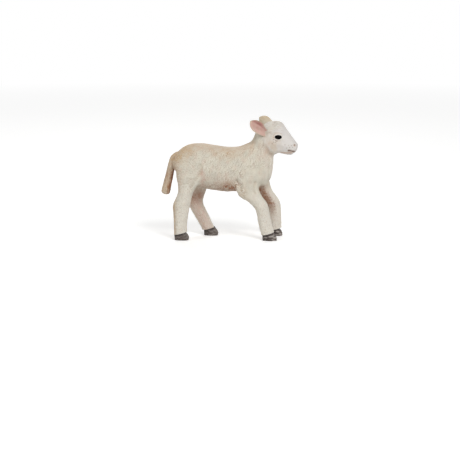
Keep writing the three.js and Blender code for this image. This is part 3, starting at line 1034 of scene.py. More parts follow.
@dataclass(frozen=True)
class Leg:
    """A leg with its hoof.

    Attributes:
        name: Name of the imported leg.
        hoof_name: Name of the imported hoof.
        flank: The side that it stands on.
        rows: Rows of along, height, out, depth and width, in the units below.
        reach: How far the hoof's middle lies ahead of the leg's, over the hoof's length.
        length: Unit of length along the body.
        height: Unit of height.
        stance: From the right feet to the left.
        depth: Unit of depth, front to back.
        width: Unit of width.
        seam: Height of the seam to the trunk.
        hoof_height: Height of the coronet.
        hoof_length: Length of the sole.
        hoof_width: Width over both claws.
        rake: Degrees that the coronet rises to the front.
        sole_ahead: How far the sole's middle lies ahead of the hoof's, over its length.
        claws: Rows of height, along, depth and width of a claw, over the hoof's sizes.
    """

    name: str
    hoof_name: str
    flank: Flank
    rows: Rows
    reach: float
    length: float = 42.0
    height: float = 31.0
    stance: float = 12.0
    depth: float = 5.6
    width: float = 5.1
    seam: float = 20.3
    hoof_height: float = 2.9
    hoof_length: float = 6.2
    hoof_width: float = 5.4
    rake: float = 14.0
    sole_ahead: float = 0.0272
    claws: Rows = (
        (-0.3, 0.03, 0.95, 0.88),
        (0, 0.03, 0.97, 0.9),
        (0.2, 0.035, 1, 1),
        (0.6, 0, 0.95, 0.98),
        (1, -0.08, 0.82, 0.94),
        (1.7, -0.16, 0.7, 0.9),
    )

    def keys(self) -> Array:
        """Returns the leg's rows as x, y, z, depth and width."""
        side = self.flank.value * self.stance / 2
        units = (self.length, self.height, side, self.depth, self.width)
        return (np.array(self.rows) * units)[:, [0, 2, 1, 3, 4]]

    def form(self) -> Loft:
        """Returns the leg, with level sections."""
        sections = [Section(x, z, -90.0, depth, width, y) for x, y, z, depth, width in self.keys()]
        return Loft(tuple(sections), start_dome=3.0, end_dome=0.8)

    @property
    def hind(self) -> bool:
        """Whether it is a hind leg."""
        return self.name.startswith("hind")

    def sole_middle(self) -> Array:
        """Returns the middle of the hoof's length and width, at half its height."""
        ahead = (self.reach + self.sole_ahead) * self.hoof_length
        return self.middle_at(self.hoof_height) + np.array([ahead, 0.0, -self.hoof_height / 2])

    def middle_at(self, height: float) -> Array:
        """Returns the leg's middle at a height."""
        return self._row_at(height)[:3]

    def _row_at(self, height: float) -> Array:
        """Returns the leg's x, y, z, depth and width at a height."""
        fine = smooth_rows(self.keys(), 60)
        return fine[np.argmin(np.abs(fine[:, 2] - height))]

    def edge(self, ahead: int, heights: Sequence[float]) -> list[Point]:
        """Returns a line outside the leg's front edge, or its rear one where ahead is -1."""
        rows = [self._row_at(height) for height in heights]
        return [(x + ahead * 0.49 * depth, self.flank.value * 9.6, z) for x, _, z, depth, _ in rows]

    def coronet(self) -> Cut:
        """Returns the raked cut above the hoof that keeps the leg."""
        up = np.array([-math.sin(math.radians(self.rake)), 0.0, math.cos(math.radians(self.rake))])
        return Cut(tuple(self.middle_at(self.hoof_height)), tuple(up))

    def hoof(self) -> Moulding:
        """Models the two claws."""
        middle = self.middle_at(self.hoof_height)
        clay = Clay(middle - (4.6, 3.6, 3.6), middle + (5.2, 3.6, 2.4), 0.16)
        long, high, claw_width = self.hoof_length, self.hoof_height, self.hoof_width / 2 + 0.2
        for side in (-1, 1):
            y = middle[1] + side * (self.hoof_width - claw_width) / 2
            sections = [
                Section(middle[0] + (self.reach + a) * long, h * high, -90.0, d * long, w * claw_width, y)
                for h, a, d, w in self.claws
            ]
            heel = (sections[1].x - 0.35 * long, y)
            clay.add(Turned(Loft(tuple(sections), 0.3, 0.3), heel, side * 3.5), 0.12)
        toe = middle[0] + self.reach * long
        cleft = [(toe + a, middle[1], z) for a, z in ((3.4, 0.2), (2.9, 1.4), (2.2, 2.6), (1.6, 3.4))]
        clay.carve(Cord(tuple(cleft), 0.3), 0.3)
        skin = clay.fine_skin(3, 2)
        points = skin.points
        normals = clay.normals(points)
        chips = 0.05 * drift(points, 1.3, 8) + 0.02 * drift(points * (0.4, 0.4, 1.6), 1.0, 7)
        points = points + normals * (chips * ramp(np.abs(normals[:, 2]), 0.95, 0.6))[:, None]
        coronet = self.coronet()
        above = (points - np.array(coronet.point)) @ np.array(coronet.keep)
        ahead = (points[:, 0] - middle[0]) / long
        side_wall = ramp(np.abs(normals[:, 2]), 0.9, 0.4)
        blot = drift(points * (1, 1, 1.8), 2.0, 6)
        worn = side_wall * ramp(blot + 0.9 * ahead, 0, 1.1) * ramp(above, -0.5, -0.9)
        heel_blots = ramp(blot, -0.1, -0.7) * ramp(ahead, 0.4, 0)
        skin = Skin(points, skin.quads)
        # The brown band just under the coronet is dark paint and painted shade under the fleece's edge; the
        # hind hooves get less of the pale brush, as painted shade.
        masks = {
            "groove": skin.hollows(0.03),
            "brown": ramp(above + 0.15 * blot, -0.75, -0.2) + 0.7 * heel_blots,
            "pale": worn * (0.35 if self.hind else 1.0),
        }
        cuts = (Cut((0, 0, 0), (0, 0, 1)), coronet.flipped())
        return Moulding(self.hoof_name, "hoof_paint", skin, masks, cuts)


LEGS = (
    Leg(
        "hindleg_right",
        "hoof_hind_right",
        Flank.RIGHT,
        (
            (-0.4, 1.13, 0.6, 1.5, 1.1),
            (-0.41, 0.935, 0.8, 1.96, 1.58),
            (-0.416, 0.82, 0.84, 1.75, 1.45),
            (-0.43, 0.755, 0.88, 1.43, 1.34),
            (-0.45, 0.66, 0.93, 1.15, 1.22),
            (-0.48, 0.54, 0.98, 1.25, 1.12),
            (-0.494, 0.465, 1, 1.27, 1.08),
            (-0.5, 0.325, 1, 1.09, 1),
            (-0.504, 0.22, 1, 1, 0.96),
            (-0.503, 0.13, 1, 0.98, 1),
            (-0.5, 0.03, 1, 0.96, 1),
        ),
        reach=0.05,
    ),
    Leg(
        "hindleg_left",
        "hoof_hind_left",
        Flank.LEFT,
        (
            (-0.4, 1.13, 0.6, 1.5, 1.1),
            (-0.39, 0.935, 0.8, 1.98, 1.58),
            (-0.363, 0.82, 0.84, 1.9, 1.45),
            (-0.35, 0.72, 0.89, 1.6, 1.32),
            (-0.352, 0.61, 0.95, 1.33, 1.2),
            (-0.366, 0.513, 0.98, 1.21, 1.12),
            (-0.36, 0.439, 1, 1.18, 1.08),
            (-0.338, 0.38, 1, 1.14, 1.02),
            (-0.294, 0.265, 1, 1.09, 0.98),
            (-0.238, 0.116, 1, 0.98, 1),
            (-0.212, 0.03, 1, 0.96, 1),
        ),
        reach=0.18,
    ),
    Leg(
        "foreleg_right",
        "hoof_front_right",
        Flank.RIGHT,
        (
            (0.225, 1.12, 0.58, 1.4, 1.1),
            (0.205, 0.92, 0.8, 1.96, 1.56),
            (0.193, 0.81, 0.83, 1.84, 1.42),
            (0.19, 0.722, 0.88, 1.73, 1.33),
            (0.224, 0.622, 0.92, 1.7, 1.24),
            (0.295, 0.532, 0.97, 1.36, 1.14),
            (0.335, 0.452, 1, 1.04, 1.06),
            (0.352, 0.365, 1, 0.96, 1),
            (0.365, 0.274, 1, 0.98, 0.96),
            (0.386, 0.161, 1, 1, 0.96),
            (0.402, 0.084, 1, 1, 1),
            (0.413, 0.03, 1, 0.98, 1),
        ),
        reach=0.1,
    ),
    Leg(
        "foreleg_left",
        "hoof_front_left",
        Flank.LEFT,
        (
            (0.245, 1.12, 0.58, 1.4, 1.1),
            (0.27, 0.92, 0.8, 1.86, 1.54),
            (0.303, 0.79, 0.85, 1.64, 1.4),
            (0.358, 0.655, 0.91, 1.26, 1.24),
            (0.41, 0.555, 0.97, 1.26, 1.14),
            (0.452, 0.468, 1, 1.1, 1.04),
            (0.471, 0.355, 1, 0.94, 0.96),
            (0.48, 0.194, 1, 0.88, 0.92),
            (0.481, 0.132, 1, 0.87, 0.96),
            (0.482, 0.03, 1, 0.88, 1),
        ),
        reach=-0.05,
    ),
)


@dataclass(frozen=True)
class Tail:
    """The hanging tail.

    Attributes:
        length: Unit of length along the body.
        root: Height of the tail's root.
        drop: Unit of drop.
        depth: Unit of thickness, front to back.
        width: Unit of width.
        rows: Rows of along, drop, lean, depth and width, in those units.
        seam: Where the tail parts from the trunk, as a share of the tail.
    """

    length: float = 42.0
    root: float = 35.65
    drop: float = 16.8
    depth: float = 3.55
    width: float = 4.1
    rows: Rows = (
        (-0.524, 0, 35, 1.3, 1.4),
        (-0.569, 0.057, 55, 1.08, 1.22),
        (-0.596, 0.18, 74, 0.87, 1.02),
        (-0.613, 0.36, 77, 0.9, 0.97),
        (-0.639, 0.64, 77, 0.97, 0.98),
        (-0.655, 0.81, 78, 1.03, 1),
        (-0.664, 0.92, 80, 1.04, 0.96),
    )
    seam: float = 0.23

    def form(self) -> Loft:
        """Returns the tail."""
        units = (self.length, -self.drop, self.depth, self.width)
        return loft(self.rows, (0.0, self.root), units, start_dome=1.0, end_dome=1.2, reach=3.0)

    def cut(self) -> Cut:
        """Returns the cut that keeps the tail."""
        return self.form().cut(self.seam, -1)


@dataclass(frozen=True)
class Head:
    """The head, drawn looking straight ahead and then turned.

    Attributes:
        nape_x: Where the head is drawn from, along the lamb.
        nape_z: Where the head is drawn from, above the ground.
        length: Unit of length ahead of the nape.
        depth: Unit of height from the nape.
        width: Unit of width.
        yaw: Degrees that the head turns to the lamb's right.
        rows: Rows of along, rise, lean, depth and width, in those units.
        eye: Along, out and rise of an eye's middle, in those units.
        eye_size: Length, thickness and height of an eye.
        eye_splay: Degrees that an eye looks ahead of sideways.
        swellings: Soft forms pressed on each side, drawn for the left, with their softness: the cheek, the
            brow and two at the ear's root.
        dents: Soft forms pressed in likewise: behind the ear, beside the nose and under the cheek.
        jaw: Crease behind the left jaw.
        philtrum: Groove from the nose down to the upper lip.
        mouth: Left half of the line between the lips.
        lip: Rosy line under the left half of the mouth.
        eye_pits: Pits behind and below the left eye.
        whisker_pits: Pits of the left whiskers.
        hair_line: Rows of height and how far ahead the fleece reaches there.
    """

    nape_x: float = 13.02
    nape_z: float = 44.485
    length: float = 16.9
    depth: float = 14.1
    width: float = 10.0
    yaw: float = 11.0
    rows: Rows = (
        (0.104, -0.142, 24, 0.64, 0.86),
        (0.2, -0.08, 19, 0.81, 0.96),
        (0.328, -0.028, 12, 0.957, 1),
        (0.479, -0.004, 4, 0.97, 1),
        (0.592, -0.046, 2, 0.93, 0.96),
        (0.704, -0.145, 0, 0.773, 0.83),
        (0.805, -0.245, -4, 0.59, 0.69),
        (0.882, -0.309, -11, 0.44, 0.6),
        (0.941, -0.326, -14, 0.29, 0.46),
    )
    eye: Point = (0.54, 0.41, 0.03)
    eye_size: Point = (3.3, 2.0, 2.1)
    eye_splay: float = 10.0
    swellings: tuple[tuple[Ball, float], ...] = (
        (Ball((19.4, 3.2, 41.1), (3.3, 1.6, 3.0)), 1.8),
        (Ball((21.6, 3.9, 46.7), (2.5, 1.0, 0.9), (1, 0, -0.1)), 1.0),
        (Ball((16.0, 2.2, 47.2), (1.5, 1.2, 1.4)), 1.4),
        (Ball((16.9, 2.2, 48.4), (1.5, 1.0, 1.2)), 1.0),
    )
    dents: tuple[tuple[Ball, float], ...] = (
        (Ball((15.4, 4.9, 46.7), (1.8, 1.1, 1.7)), 1.2),
        (Ball((25.5, 5.3, 43.4), (1.9, 1.3, 1.9)), 1.2),
        (Ball((23.4, 5.6, 39.2), (3.2, 1.2, 1.4)), 1.4),
    )
    jaw: Rows = ((16.2, 5, 41), (16.8, 4.5, 39.6), (18, 3.7, 38.3), (19.1, 2.5, 37.7))
    philtrum: Rows = ((30.2, 0, 40.6), (30.2, 0, 39.9), (30, 0, 39.2))
    mouth: Rows = (
        (26.4, 3.04, 39.05), (26.9, 2.97, 39), (27.6, 2.7, 38.8),
        (28.2, 2.2, 38.65), (28.6, 1.7, 38.55), (29.1, 0, 38.5),
    )
    lip: Rows = ((23.3, 2.3, 37.9), (24.7, 2.3, 37.9), (26, 2.3, 38), (27.5, 2.3, 38))
    eye_pits: Rows = (
        (19.9, 6, 44), (21.1, 6, 43.6), (20.2, 6, 42.85), (20.95, 6, 42.75), (21.6, 6, 43.1), (19.5, 6, 42),
    )
    whisker_pits: Rows = (
        (26.4, 3.5, 41.35), (27.6, 3.1, 41.25), (26.9, 3.3, 40.5),
        (28.1, 2.9, 40.5), (25.6, 3.4, 40.2), (24.9, 3.8, 41.6),
    )
    hair_line: Rows = (
        (33, 24), (36.8, 20.6), (38.5, 18.6), (40.5, 17), (43.5, 15.5),
        (46, 17.2), (47.4, 20.4), (48.6, 22.4), (50, 23.8), (51.5, 25),
    )

    def turned(self, form: Form) -> Turned:
        """Returns a form drawn looking ahead, turned as the head is."""
        return Turned(form, (self.nape_x, 0.0), -self.yaw)

    def turn(self, points: Array, back: bool = False) -> Array:
        """Turns points as the head is, or back."""
        pivot = (self.nape_x, 0.0)
        x, y = spin(points[..., 0], points[..., 1], pivot, self.yaw if back else -self.yaw)
        return np.stack([x, y, points[..., 2]], axis=-1)

    def skull(self) -> Form:
        """Returns the head's main form."""
        units = (self.length, self.depth, self.depth, self.width)
        return self.turned(loft(self.rows, (self.nape_x, self.nape_z), units, start_dome=1.5, end_dome=0.7))

    def eye_middle(self, side: int) -> Point:
        """Returns where an eye's middle is drawn."""
        along, out, rise = self.eye
        return (self.nape_x + along * self.length, side * out * self.width, self.nape_z + rise * self.depth)

    def eye_axis(self, side: int) -> Point:
        """Returns the direction from an eye's back corner to its front one."""
        splay = math.radians(self.eye_splay)
        return (math.cos(splay), -side * math.sin(splay), 0.0)

    def eyeball(self, side: int) -> Form:
        """Returns an eye."""
        long, thick, high = (size / 2 for size in self.eye_size)
        return self.turned(Ball(self.eye_middle(side), (long, thick, high), self.eye_axis(side)))

    def swell(self, clay: Clay) -> None:
        """Models the cheeks, brows and ear roots, which shape the outline too."""
        for side in (-1, 1):
            for ball, softness in self.swellings:
                clay.add(self.turned(ball.on(side)), softness)
            for ball, softness in self.dents:
                clay.carve(self.turned(ball.on(side)), softness)

    def lay_on(self, clay: Clay, drawn: Sequence[Sequence[float]], side: int = 1, sink: float = 0.0) -> Rows:
        """Lays a line, drawn for the left, on the side given of the clay, or below its surface by sink."""
        return laid_line(clay, self.turn(np.array(drawn, float) * (1, side, 1)), sink)

    def jaw_line(self, clay: Clay, side: int) -> Rows:
        """Returns the crease behind the jaw, just outside the skin."""
        return self.lay_on(clay, self.jaw, side, -0.46)

    def ahead_of_neck(self, x: Array, z: Array) -> Array:
        """Returns 1 on the head and 0 on the neck."""
        return ramp(x * 0.81 + z * 0.585, 37.4, 38.6)

    def features(self, clay: Clay) -> list[Dab]:
        """Models the lids, the nose and the mouth.

        Args:
            clay: The head, which is changed.

        Returns:
            The paint that goes with them.
        """
        dabs = []
        for side in (-1, 1):
            dabs += [*self._lids(clay, side), *self._nose(clay, side), *self._mouth(clay, side)]
            jaw = self.jaw_line(clay, side)
            dabs += [Dab(jaw, 1.5, "tan", 0.35), Dab(jaw[1:], 0.9, "tan", 0.75)]
        clay.add(self.turned(Ball((26.5, 0, 38.3), (1.6, 1.5, 0.65), (1, 0, 0.1))), 0.5)
        philtrum = self.lay_on(clay, self.philtrum)
        clay.carve(Cord(philtrum, 0.12), 0.12)
        return [*dabs, Dab(philtrum, 0.4, "rose", 0.6)]

    def _lids(self, clay: Clay, side: int) -> list[Dab]:
        """Models one eye's lids, the fold over them and the pits behind them."""
        middle = np.array(self.eye_middle(side))
        along = np.array(self.eye_axis(side))
        outward = np.array([0, side * 1.2, 0])
        ring, arch = [], []
        for turn in np.linspace(0, 2 * math.pi, 41):
            lift = 1.13 * math.copysign(abs(math.sin(turn)) ** 1.08, math.sin(turn))
            ring.append(middle + 1.77 * math.cos(turn) * along + outward + (0, 0, lift))
        for turn in np.linspace(0.2 * math.pi, 1.04 * math.pi, 16):
            lift = 0.3 + 1.7 * math.sin(turn)
            arch.append(middle + 2.35 * math.cos(turn) * along + outward + (0, 0, lift))
        lids = self.lay_on(clay, ring)
        fold = self.lay_on(clay, arch, sink=-0.03)
        pits = [self.lay_on(clay, [point], side) for point in self.eye_pits]
        clay.add(Cord(lids, 0.24), 0.2)
        socket = middle + np.array([0, side * 0.7, 0])
        clay.carve(self.turned(Ball(tuple(socket), (1.56, 1.6, 0.94), tuple(along))), 0.12)
        clay.carve(Cord(fold, 0.12), 0.28)
        for pit in pits:
            clay.carve(Ball(pit[0], (0.22, 0.22, 0.16)), 0.15)
        return [
            Dab(lids, 0.35, "pale", 0.8),
            Dab(lids, 1.1, "rose", 0.25),
            Dab(fold, 0.45, "rose", 0.4),
            *(Dab(pit, 0.34, "brown", 0.75) for pit in pits),
        ]

    def _nose(self, clay: Clay, side: int) -> list[Dab]:
        """Models one nostril with its wing, and the pits of the whiskers."""
        clay.add(self.turned(Ball((28.6, side * 1.75, 41.6), (0.95, 0.5, 0.6), (0.85, 0, -0.5))), 0.4)
        hole = self.lay_on(clay, [(29.0, 2.4, 41.4)], side)
        pits = [self.lay_on(clay, [point], side) for point in self.whisker_pits]
        clay.carve(Ball(hole[0], (0.46, 0.45, 0.24), (0.75, 0, -0.6)), 0.15)
        for pit in pits:
            clay.carve(Ball(pit[0], (0.22, 0.22, 0.18)), 0.12)
        return [
            Dab(hole, 0.6, "brown", 1.0),
            Dab(hole, 1.1, "rose", 0.6),
            *(Dab(pit, 0.46, "brown", 0.45) for pit in pits),
        ]

    def _mouth(self, clay: Clay, side: int) -> list[Dab]:
        """Models one half of the line between the lips."""
        line = self.lay_on(clay, self.mouth, side, 0.02)
        lip = self.lay_on(clay, self.lip, side)
        clay.carve(Cord(line, 0.26), 0.14)
        clay.carve(Ball(line[1], (0.46, 0.36, 0.28)), 0.2)
        return [
            Dab(line, 0.75, "brown", 0.75),
            Dab(line[:2], 0.6, "brown", 1.0),
            Dab(line[3:5], 0.6, "brown", 1.0),
            Dab(line, 1.0, "rose", 0.35),
            Dab(lip, 0.9, "rose", 0.85),
        ]

    def bare(self, points: Array, soft: float = 1.0) -> Array:
        """Returns 1 where the face is smooth and 0 in the fleece, with a border as wide as soft says."""
        drawn = self.turn(points, back=True)
        edge = np.interp(drawn[:, 2], *np.array(self.hair_line).T)
        return ramp(drawn[:, 0] - edge + 0.5 * drift(points, 2.4, 31), -1.5 * soft, 2.0 * soft)

    def round_eyes(self, points: Array) -> Array:
        """Returns 1 round the eyes, where the lids bear no hair."""
        drawn = self.turn(points, back=True)
        away = np.hypot(drawn[:, 0] - self.eye_middle(1)[0], 1.4 * (drawn[:, 2] - self.eye_middle(1)[2]))
        return ramp(away, 2.9, 2.2) * ramp(np.abs(drawn[:, 1]), 2.5, 3.2)

    def eye_piece(self, side: int, name: str) -> Moulding:
        """Models one eyeball."""
        middle = self.turn(np.array(self.eye_middle(side)))
        clay = Clay(middle - 2.2, middle + 2.2, 0.2)
        clay.add(self.eyeball(side))
        return Moulding(name, "eye_gloss", clay.fine_skin(3, 1), {})


@dataclass(frozen=True)
class Ear:
    """A cupped, leaf-shaped ear.

    Attributes:
        name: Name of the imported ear.
        flank: The side that it stands on.
        head: The head that carries it.
        root: Along, out and rise of its root, in the head's units.
        axis: Back, out and up along the ear.
        face: Back, out and up out of its open face.
        length: From the root to the tip.
        width: Across the leaf at its widest.
        wall: Thickness in its middle.
        cup: How far its edges stand in front of its middle.
        narrowing: Share of the width that is missing at the root.
        shoulder: Share of the upper half that is missing there besides.
    """

    name: str
    flank: Flank
    head: Head
    root: Point = (0.167, 0.38, 0.2)
    axis: Point = (-0.59, 0.585, 0.53)
    face: Point = (0.62, 0.72, -0.31)
    length: float = 8.5
    width: float = 5.3
    wall: float = 1.0
    cup: float = 1.5
    narrowing: float = 0.42
    shoulder: float = 0.5
    RINGS = 84
    SPOTS = 96

    def model(self) -> Moulding:
        """Models the ear as rings from root to tip."""
        side = self.flank.value
        axis = unit((self.axis[0], side * self.axis[1], self.axis[2]))
        face = np.array([self.face[0], side * self.face[1], self.face[2]])
        face = unit(face - (face @ axis) * axis)
        across = np.cross(axis, face)
        along_root, out, rise = self.root
        head = self.head
        root = np.array([head.nape_x + along_root * head.length, side * out * head.width, 0.0])
        root[2] = head.nape_z + rise * head.depth
        rings = self.RINGS // 1
        spots = self.SPOTS // 1
        u = np.sin(np.linspace(0, math.pi / 2, rings))
        v = np.linspace(0, 2 * math.pi, spots, endpoint=False)
        u, v = (grid.ravel() for grid in np.meshgrid(u, v, indexing="ij"))
        half_way = np.abs(2 * u - 1)
        tapered = np.sqrt(np.clip(1 - half_way**2.3, 0, 1))
        outline = np.where(u < 0.5, 1 - self.narrowing * half_way**2, tapered)
        spot = np.cos(v)
        upper = -side * spot
        half = self.width / 2 * outline * (1 - self.shoulder * ramp(upper, 0.1, 0.9) * ramp(u, 0.5, 0))
        front = ramp(np.sin(v), -0.15, 0.35)
        rim_thin = 1 - 0.38 * spot**2
        tip_thin = 0.35 + 0.65 * ramp(u, 1.02, 0.8)
        wall = self.wall / 2 * np.sign(np.sin(v)) * np.abs(np.sin(v)) ** 0.7 * rim_thin * tip_thin
        share = half / (self.width / 2)
        lift = spot**2 * share * self.cup
        # The upper rim curls over, and a fold runs under it down into the ear.
        curl = 0.35 * ramp(upper, 0.55, 1) * hill(u, 0.5, 0.5)
        fold = 0.14 * front * hill(upper, 0.42, 0.32) * hill(u, 0.45, 0.45)
        hollow = 0.22 * front * hill(upper, -0.1, 0.7) * hill(u, 0.35, 0.5)
        ribs = 0.05 * front * np.sin(9 * spot + 2.5 * u) * hill(u, 0.5, 0.45) * ramp(np.abs(spot), 0.95, 0.6)
        root_curl = 0.45 * ramp(u, 0.35, 0) * spot**2
        points = (
            root
            + np.outer((u - 0.16 * ramp(u, 0.3, 0)) * self.length, axis)
            + np.outer(spot * half, across)
            + np.outer(lift + wall + curl + root_curl - fold - hollow + ribs, face)
        )
        points = head.turn(points)
        ring = np.arange(rings - 1)[:, None] * spots
        near = np.arange(spots)[None, :]
        nxt = (near + 1) % spots
        quads = np.stack([ring + near, ring + nxt, ring + spots + nxt, ring + spots + near], -1)
        points, quads = self._close(points, quads.reshape(-1, 4), spots)
        pad = len(points) - len(u)
        front, upper, u_all = (np.append(a, np.zeros(pad)) for a in (front, upper, u))
        normals = face_normals(points, quads)
        middle = points.mean(0)
        if ((points - middle) * normals).sum() < 0:
            quads = quads[:, ::-1]
            normals = -normals
        hairs = np.sin(14 * np.append(spot * half, np.zeros(pad)) + 2.5 * drift(points, 2.0, 18))
        lines = 0.022 * (1 - front) * hairs * ramp(drift(points, 1.2, 17), -0.7, 0.5)
        points = points + normals * lines[:, None]
        blot = drift(points, 2.2, 12)
        rim = ramp(np.abs(upper), 0.74, 0.95)
        deep = 0.68 + 0.32 * ramp(upper, -0.3, 0.5) + 0.06 * blot
        outside = (0.6 + 0.35 * ramp(blot, -0.2, 0.8)) * ramp(u_all, 0.2, 0.7)
        skin = Skin(points, quads)
        # Brown is painted shadow under the curled upper rim, and the rose deepens towards the top as painted
        # shade; the pale on the lower half and towards the root is painted light.
        masks = {
            "groove": skin.hollows(0.03),
            "rose": front * (1 - 0.75 * rim) * ramp(u_all, 1, 0.9) * deep,
            "brown": front * 0.7 * hill(upper, 0.52, 0.42) * ramp(u_all, 0.3, 0.6) * ramp(u_all, 1, 0.85),
            "tan": (1 - front) * outside + 0.5 * front * rim,
            "pale": front * np.maximum(0.35 * ramp(upper, 0.1, -0.6), 0.8 * ramp(u_all, 0.5, 0.15)),
        }
        return Moulding(self.name, "ear_vinyl", skin, masks)

    @staticmethod
    def _close(points: Array, quads: Array, spots: int) -> tuple[Array, Array]:
        """Closes the root and the tip, each with a fan round a hub."""
        hubs, fans = [], []
        for start, way in ((0, -1), (len(points) - spots, 1)):
            hub = len(points) + len(hubs)
            hubs.append(points[start : start + spots].mean(0))
            for i in range(0, spots, 2):
                arc = (start + i, start + i + 1, start + (i + 2) % spots)
                fans.append([hub, *arc[::way]])
        return np.vstack([points, hubs]), np.vstack([quads, fans])


# The coat of fleece


class Zone(Enum):
    """A stretch of the coat whose locks are modelled alike, with their sizes in LockStyle's order."""

    FLANK = LockStyle(0.82, 2.1, 1.25, 0.2, 70, 34)
    BACK = LockStyle(0.72, 3.0, 0.85, 0.12, 25, 16)
    HAUNCH = LockStyle(0.72, 1.9, 1.0, 0.16, 60, 30)
    SHOULDER = LockStyle(0.8, 1.9, 1.25, 0.07, 85, 60)
    NECK = LockStyle(0.7, 2.6, 0.85, 0.14, 30, 20)
    BELLY = LockStyle(0.8, 2.7, 1.1, 0.3, 90, 50)
    LEG = LockStyle(0.68, 1.5, 1.0, 0.2, 75, 55)
    CROWN = LockStyle(0.9, 2.6, 1.3, 0.26, 60, 30)
    TAIL = LockStyle(0.66, 2.4, 0.8, 0.14, 30, 18)
    FACE = LockStyle(0.5, 1.2, 0.45, 0.026, 20, 25)


@dataclass
class Lamb:
    """The whole figure: its forms, its coat and its paint.

    Attributes:
        trunk: Barrel and neck.
        legs: The four legs.
        tail: The tail.
        head: The head.
        coat_depth: How far the middle of the locks stands above the smooth form.
        creases: Folds pressed into the smooth form, each with the softness of its edges.
        fleece: The locks, once they are laid.
    """

    trunk: Trunk = Trunk()
    legs: tuple[Leg, ...] = LEGS
    tail: Tail = Tail()
    head: Head = Head()
    coat_depth: float = 0.1
    creases: list[tuple[Form, float]] = field(default_factory=list)
    fleece: Fleece | None = None

    def shift(self) -> Array:
        """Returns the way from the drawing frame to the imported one, by the four hooves."""
        gaps = []
        for leg in self.legs:
            low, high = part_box(leg.hoof_name)
            packed = (np.array(low) + np.array(high)) / 2 / MM
            gaps.append(packed - leg.sole_middle())
        return np.array([*np.mean(gaps, axis=0)[:2], 0.0])

    def block(self, low: Sequence[float], high: Sequence[float], step: float) -> Clay:
        """Models the whole smooth lamb, as far as it lies within a box."""
        clay = Clay(low, high, step)
        clay.add(self.trunk.barrel_form())
        clay.add(self.trunk.neck_form(), 3.0)
        clay.add(self.head.skull(), 2.0)
        self.head.swell(clay)
        for leg in self.legs:
            clay.add(leg.form(), 1.4)
        clay.add(self.tail.form(), 0.45)
        self.press_folds(clay)
        return clay

    def press_folds(self, clay: Clay) -> None:
        """Presses the folds in."""
        for crease, softness in self.creases:
            clay.carve(crease, softness)

    def fold(self, clay: Clay) -> None:
        """Finds where the folds between limbs, trunk and jaw lie, and presses them in."""
        for leg in self.legs:
            if leg.hind:
                lines = [leg.edge(1, (33.0, 31.0, 28.5, 26.0, 24.0, 22.4))]
            else:
                lines = [leg.edge(-1, (25.0, 23.5, 21.6)), leg.edge(1, (24.5, 23.5, 22.2))]
            for line in lines:
                self.creases.append((Cord(laid_line(clay, line, -0.12), 0.42), 1.3))
        for side in (-1, 1):
            self.creases.append((Cord(self.head.jaw_line(clay, side), 0.4), 1.4))
        self.press_folds(clay)

    def flow(self, points: Array, normals: Array) -> Array:
        """Returns the way that the fleece lies: back along the spine, and down elsewhere."""
        x, z = points[:, 0], points[:, 2]
        top = ramp(normals[:, 2], 0.55, 0.95)[:, None]
        under = ramp(-normals[:, 2], 0.5, 0.9)[:, None]
        front = ramp(x, 12, 18) * ramp(z, 32, 40)
        high = ramp(z, 28, 36) * ramp(x, 12, 8)
        haunch = ramp(x, -11, -14) * ramp(z, 22, 28) * ramp(x, -24, -22)
        low = ramp(z, 27.5, 25) * ramp(np.abs(x + 3.0), 9.5, 7)
        crown = ramp(z, 45.5, 47.5) * ramp(x, 12, 15)
        back = 0.14 + 0.3 * high + 0.5 * front + 2.6 * haunch - 1.3 * low + 2.0 * crown
        run = np.stack([-back, 0 * back, 0.8 * haunch - 1], axis=1) * (1 - top)
        run = run + np.array([-1.0, 0.0, -0.2]) * top
        run = run * (1 - under) + np.array([-0.8, 0.0, -0.3]) * under
        run = unit_rows(run - normals * (run * normals).sum(1)[:, None])
        turn = 0.3 * drift(points, 7.0, 41) + 0.22 * drift(points, 2.8, 42)
        return run * np.cos(turn)[:, None] + np.cross(normals, run) * np.sin(turn)[:, None]

    def thickness(self, zone: Zone) -> Field:
        """Returns how thick a zone's locks grow at given points and normals."""

        def thick(points: Array, normals: Array) -> Array:
            """Returns the share of the zone at each point."""
            x, _, z = (points + 0.5 * drift(points, 3.0, 51)[:, None]).T
            bare = self.head.bare(points, 1.5)
            leg = ramp(z + 3.0 * ramp(x, 0, 4), 20.5, 17.5)
            tail = ramp(x, -23.4, -24.2)
            head = self.head.ahead_of_neck(x, z)
            crown = head * ramp(z, 45, 47.5)
            neck = np.maximum(ramp(x * 0.6 + z * 0.8, 37.5, 39.5) * ramp(x, 8, 10), head) * (1 - crown)
            belly = ramp(z, 24.6, 22.6) * ramp(x, -13.5, -10.5) * ramp(x, 7, 4.5) * (1 - leg)
            back = ramp(normals[:, 2], 0.62, 0.82)
            haunch = ramp(x, -10.2, -11.4)
            shoulder = ramp(x, 4.5, 6.5) * ramp(z, 34, 31)
            rest = (1 - leg) * (1 - tail) * (1 - crown) * (1 - neck)
            side = rest * (1 - belly) * (1 - back)
            shares = {
                Zone.LEG: leg * (1 - tail),
                Zone.TAIL: tail,
                Zone.CROWN: crown,
                Zone.NECK: neck,
                Zone.BELLY: rest * belly,
                Zone.BACK: rest * (1 - belly) * back,
                Zone.HAUNCH: side * haunch,
                Zone.SHOULDER: side * (1 - haunch) * shoulder,
                Zone.FLANK: side * (1 - haunch) * (1 - shoulder),
            }
            if zone is Zone.FACE:
                return bare * (1 - self.head.round_eyes(points))
            return shares[zone] * (1 - bare)

        return thick

    def comb(self) -> None:
        """Finds the folds, and lays every lock of the coat."""
        clay = self.block((-30.5, -11.5, -1.0), (32.0, 11.5, 54.0), 0.5)
        self.fold(clay)
        skin = clay.skin()
        skin.relax(clay, 1)
        self.fleece = Fleece(clay, 2024)
        for zone in Zone:
            count = self.fleece.comb(skin, zone.value, self.thickness(zone), self.flow)
            log.info("%s: %d locks", zone.name.lower(), count)

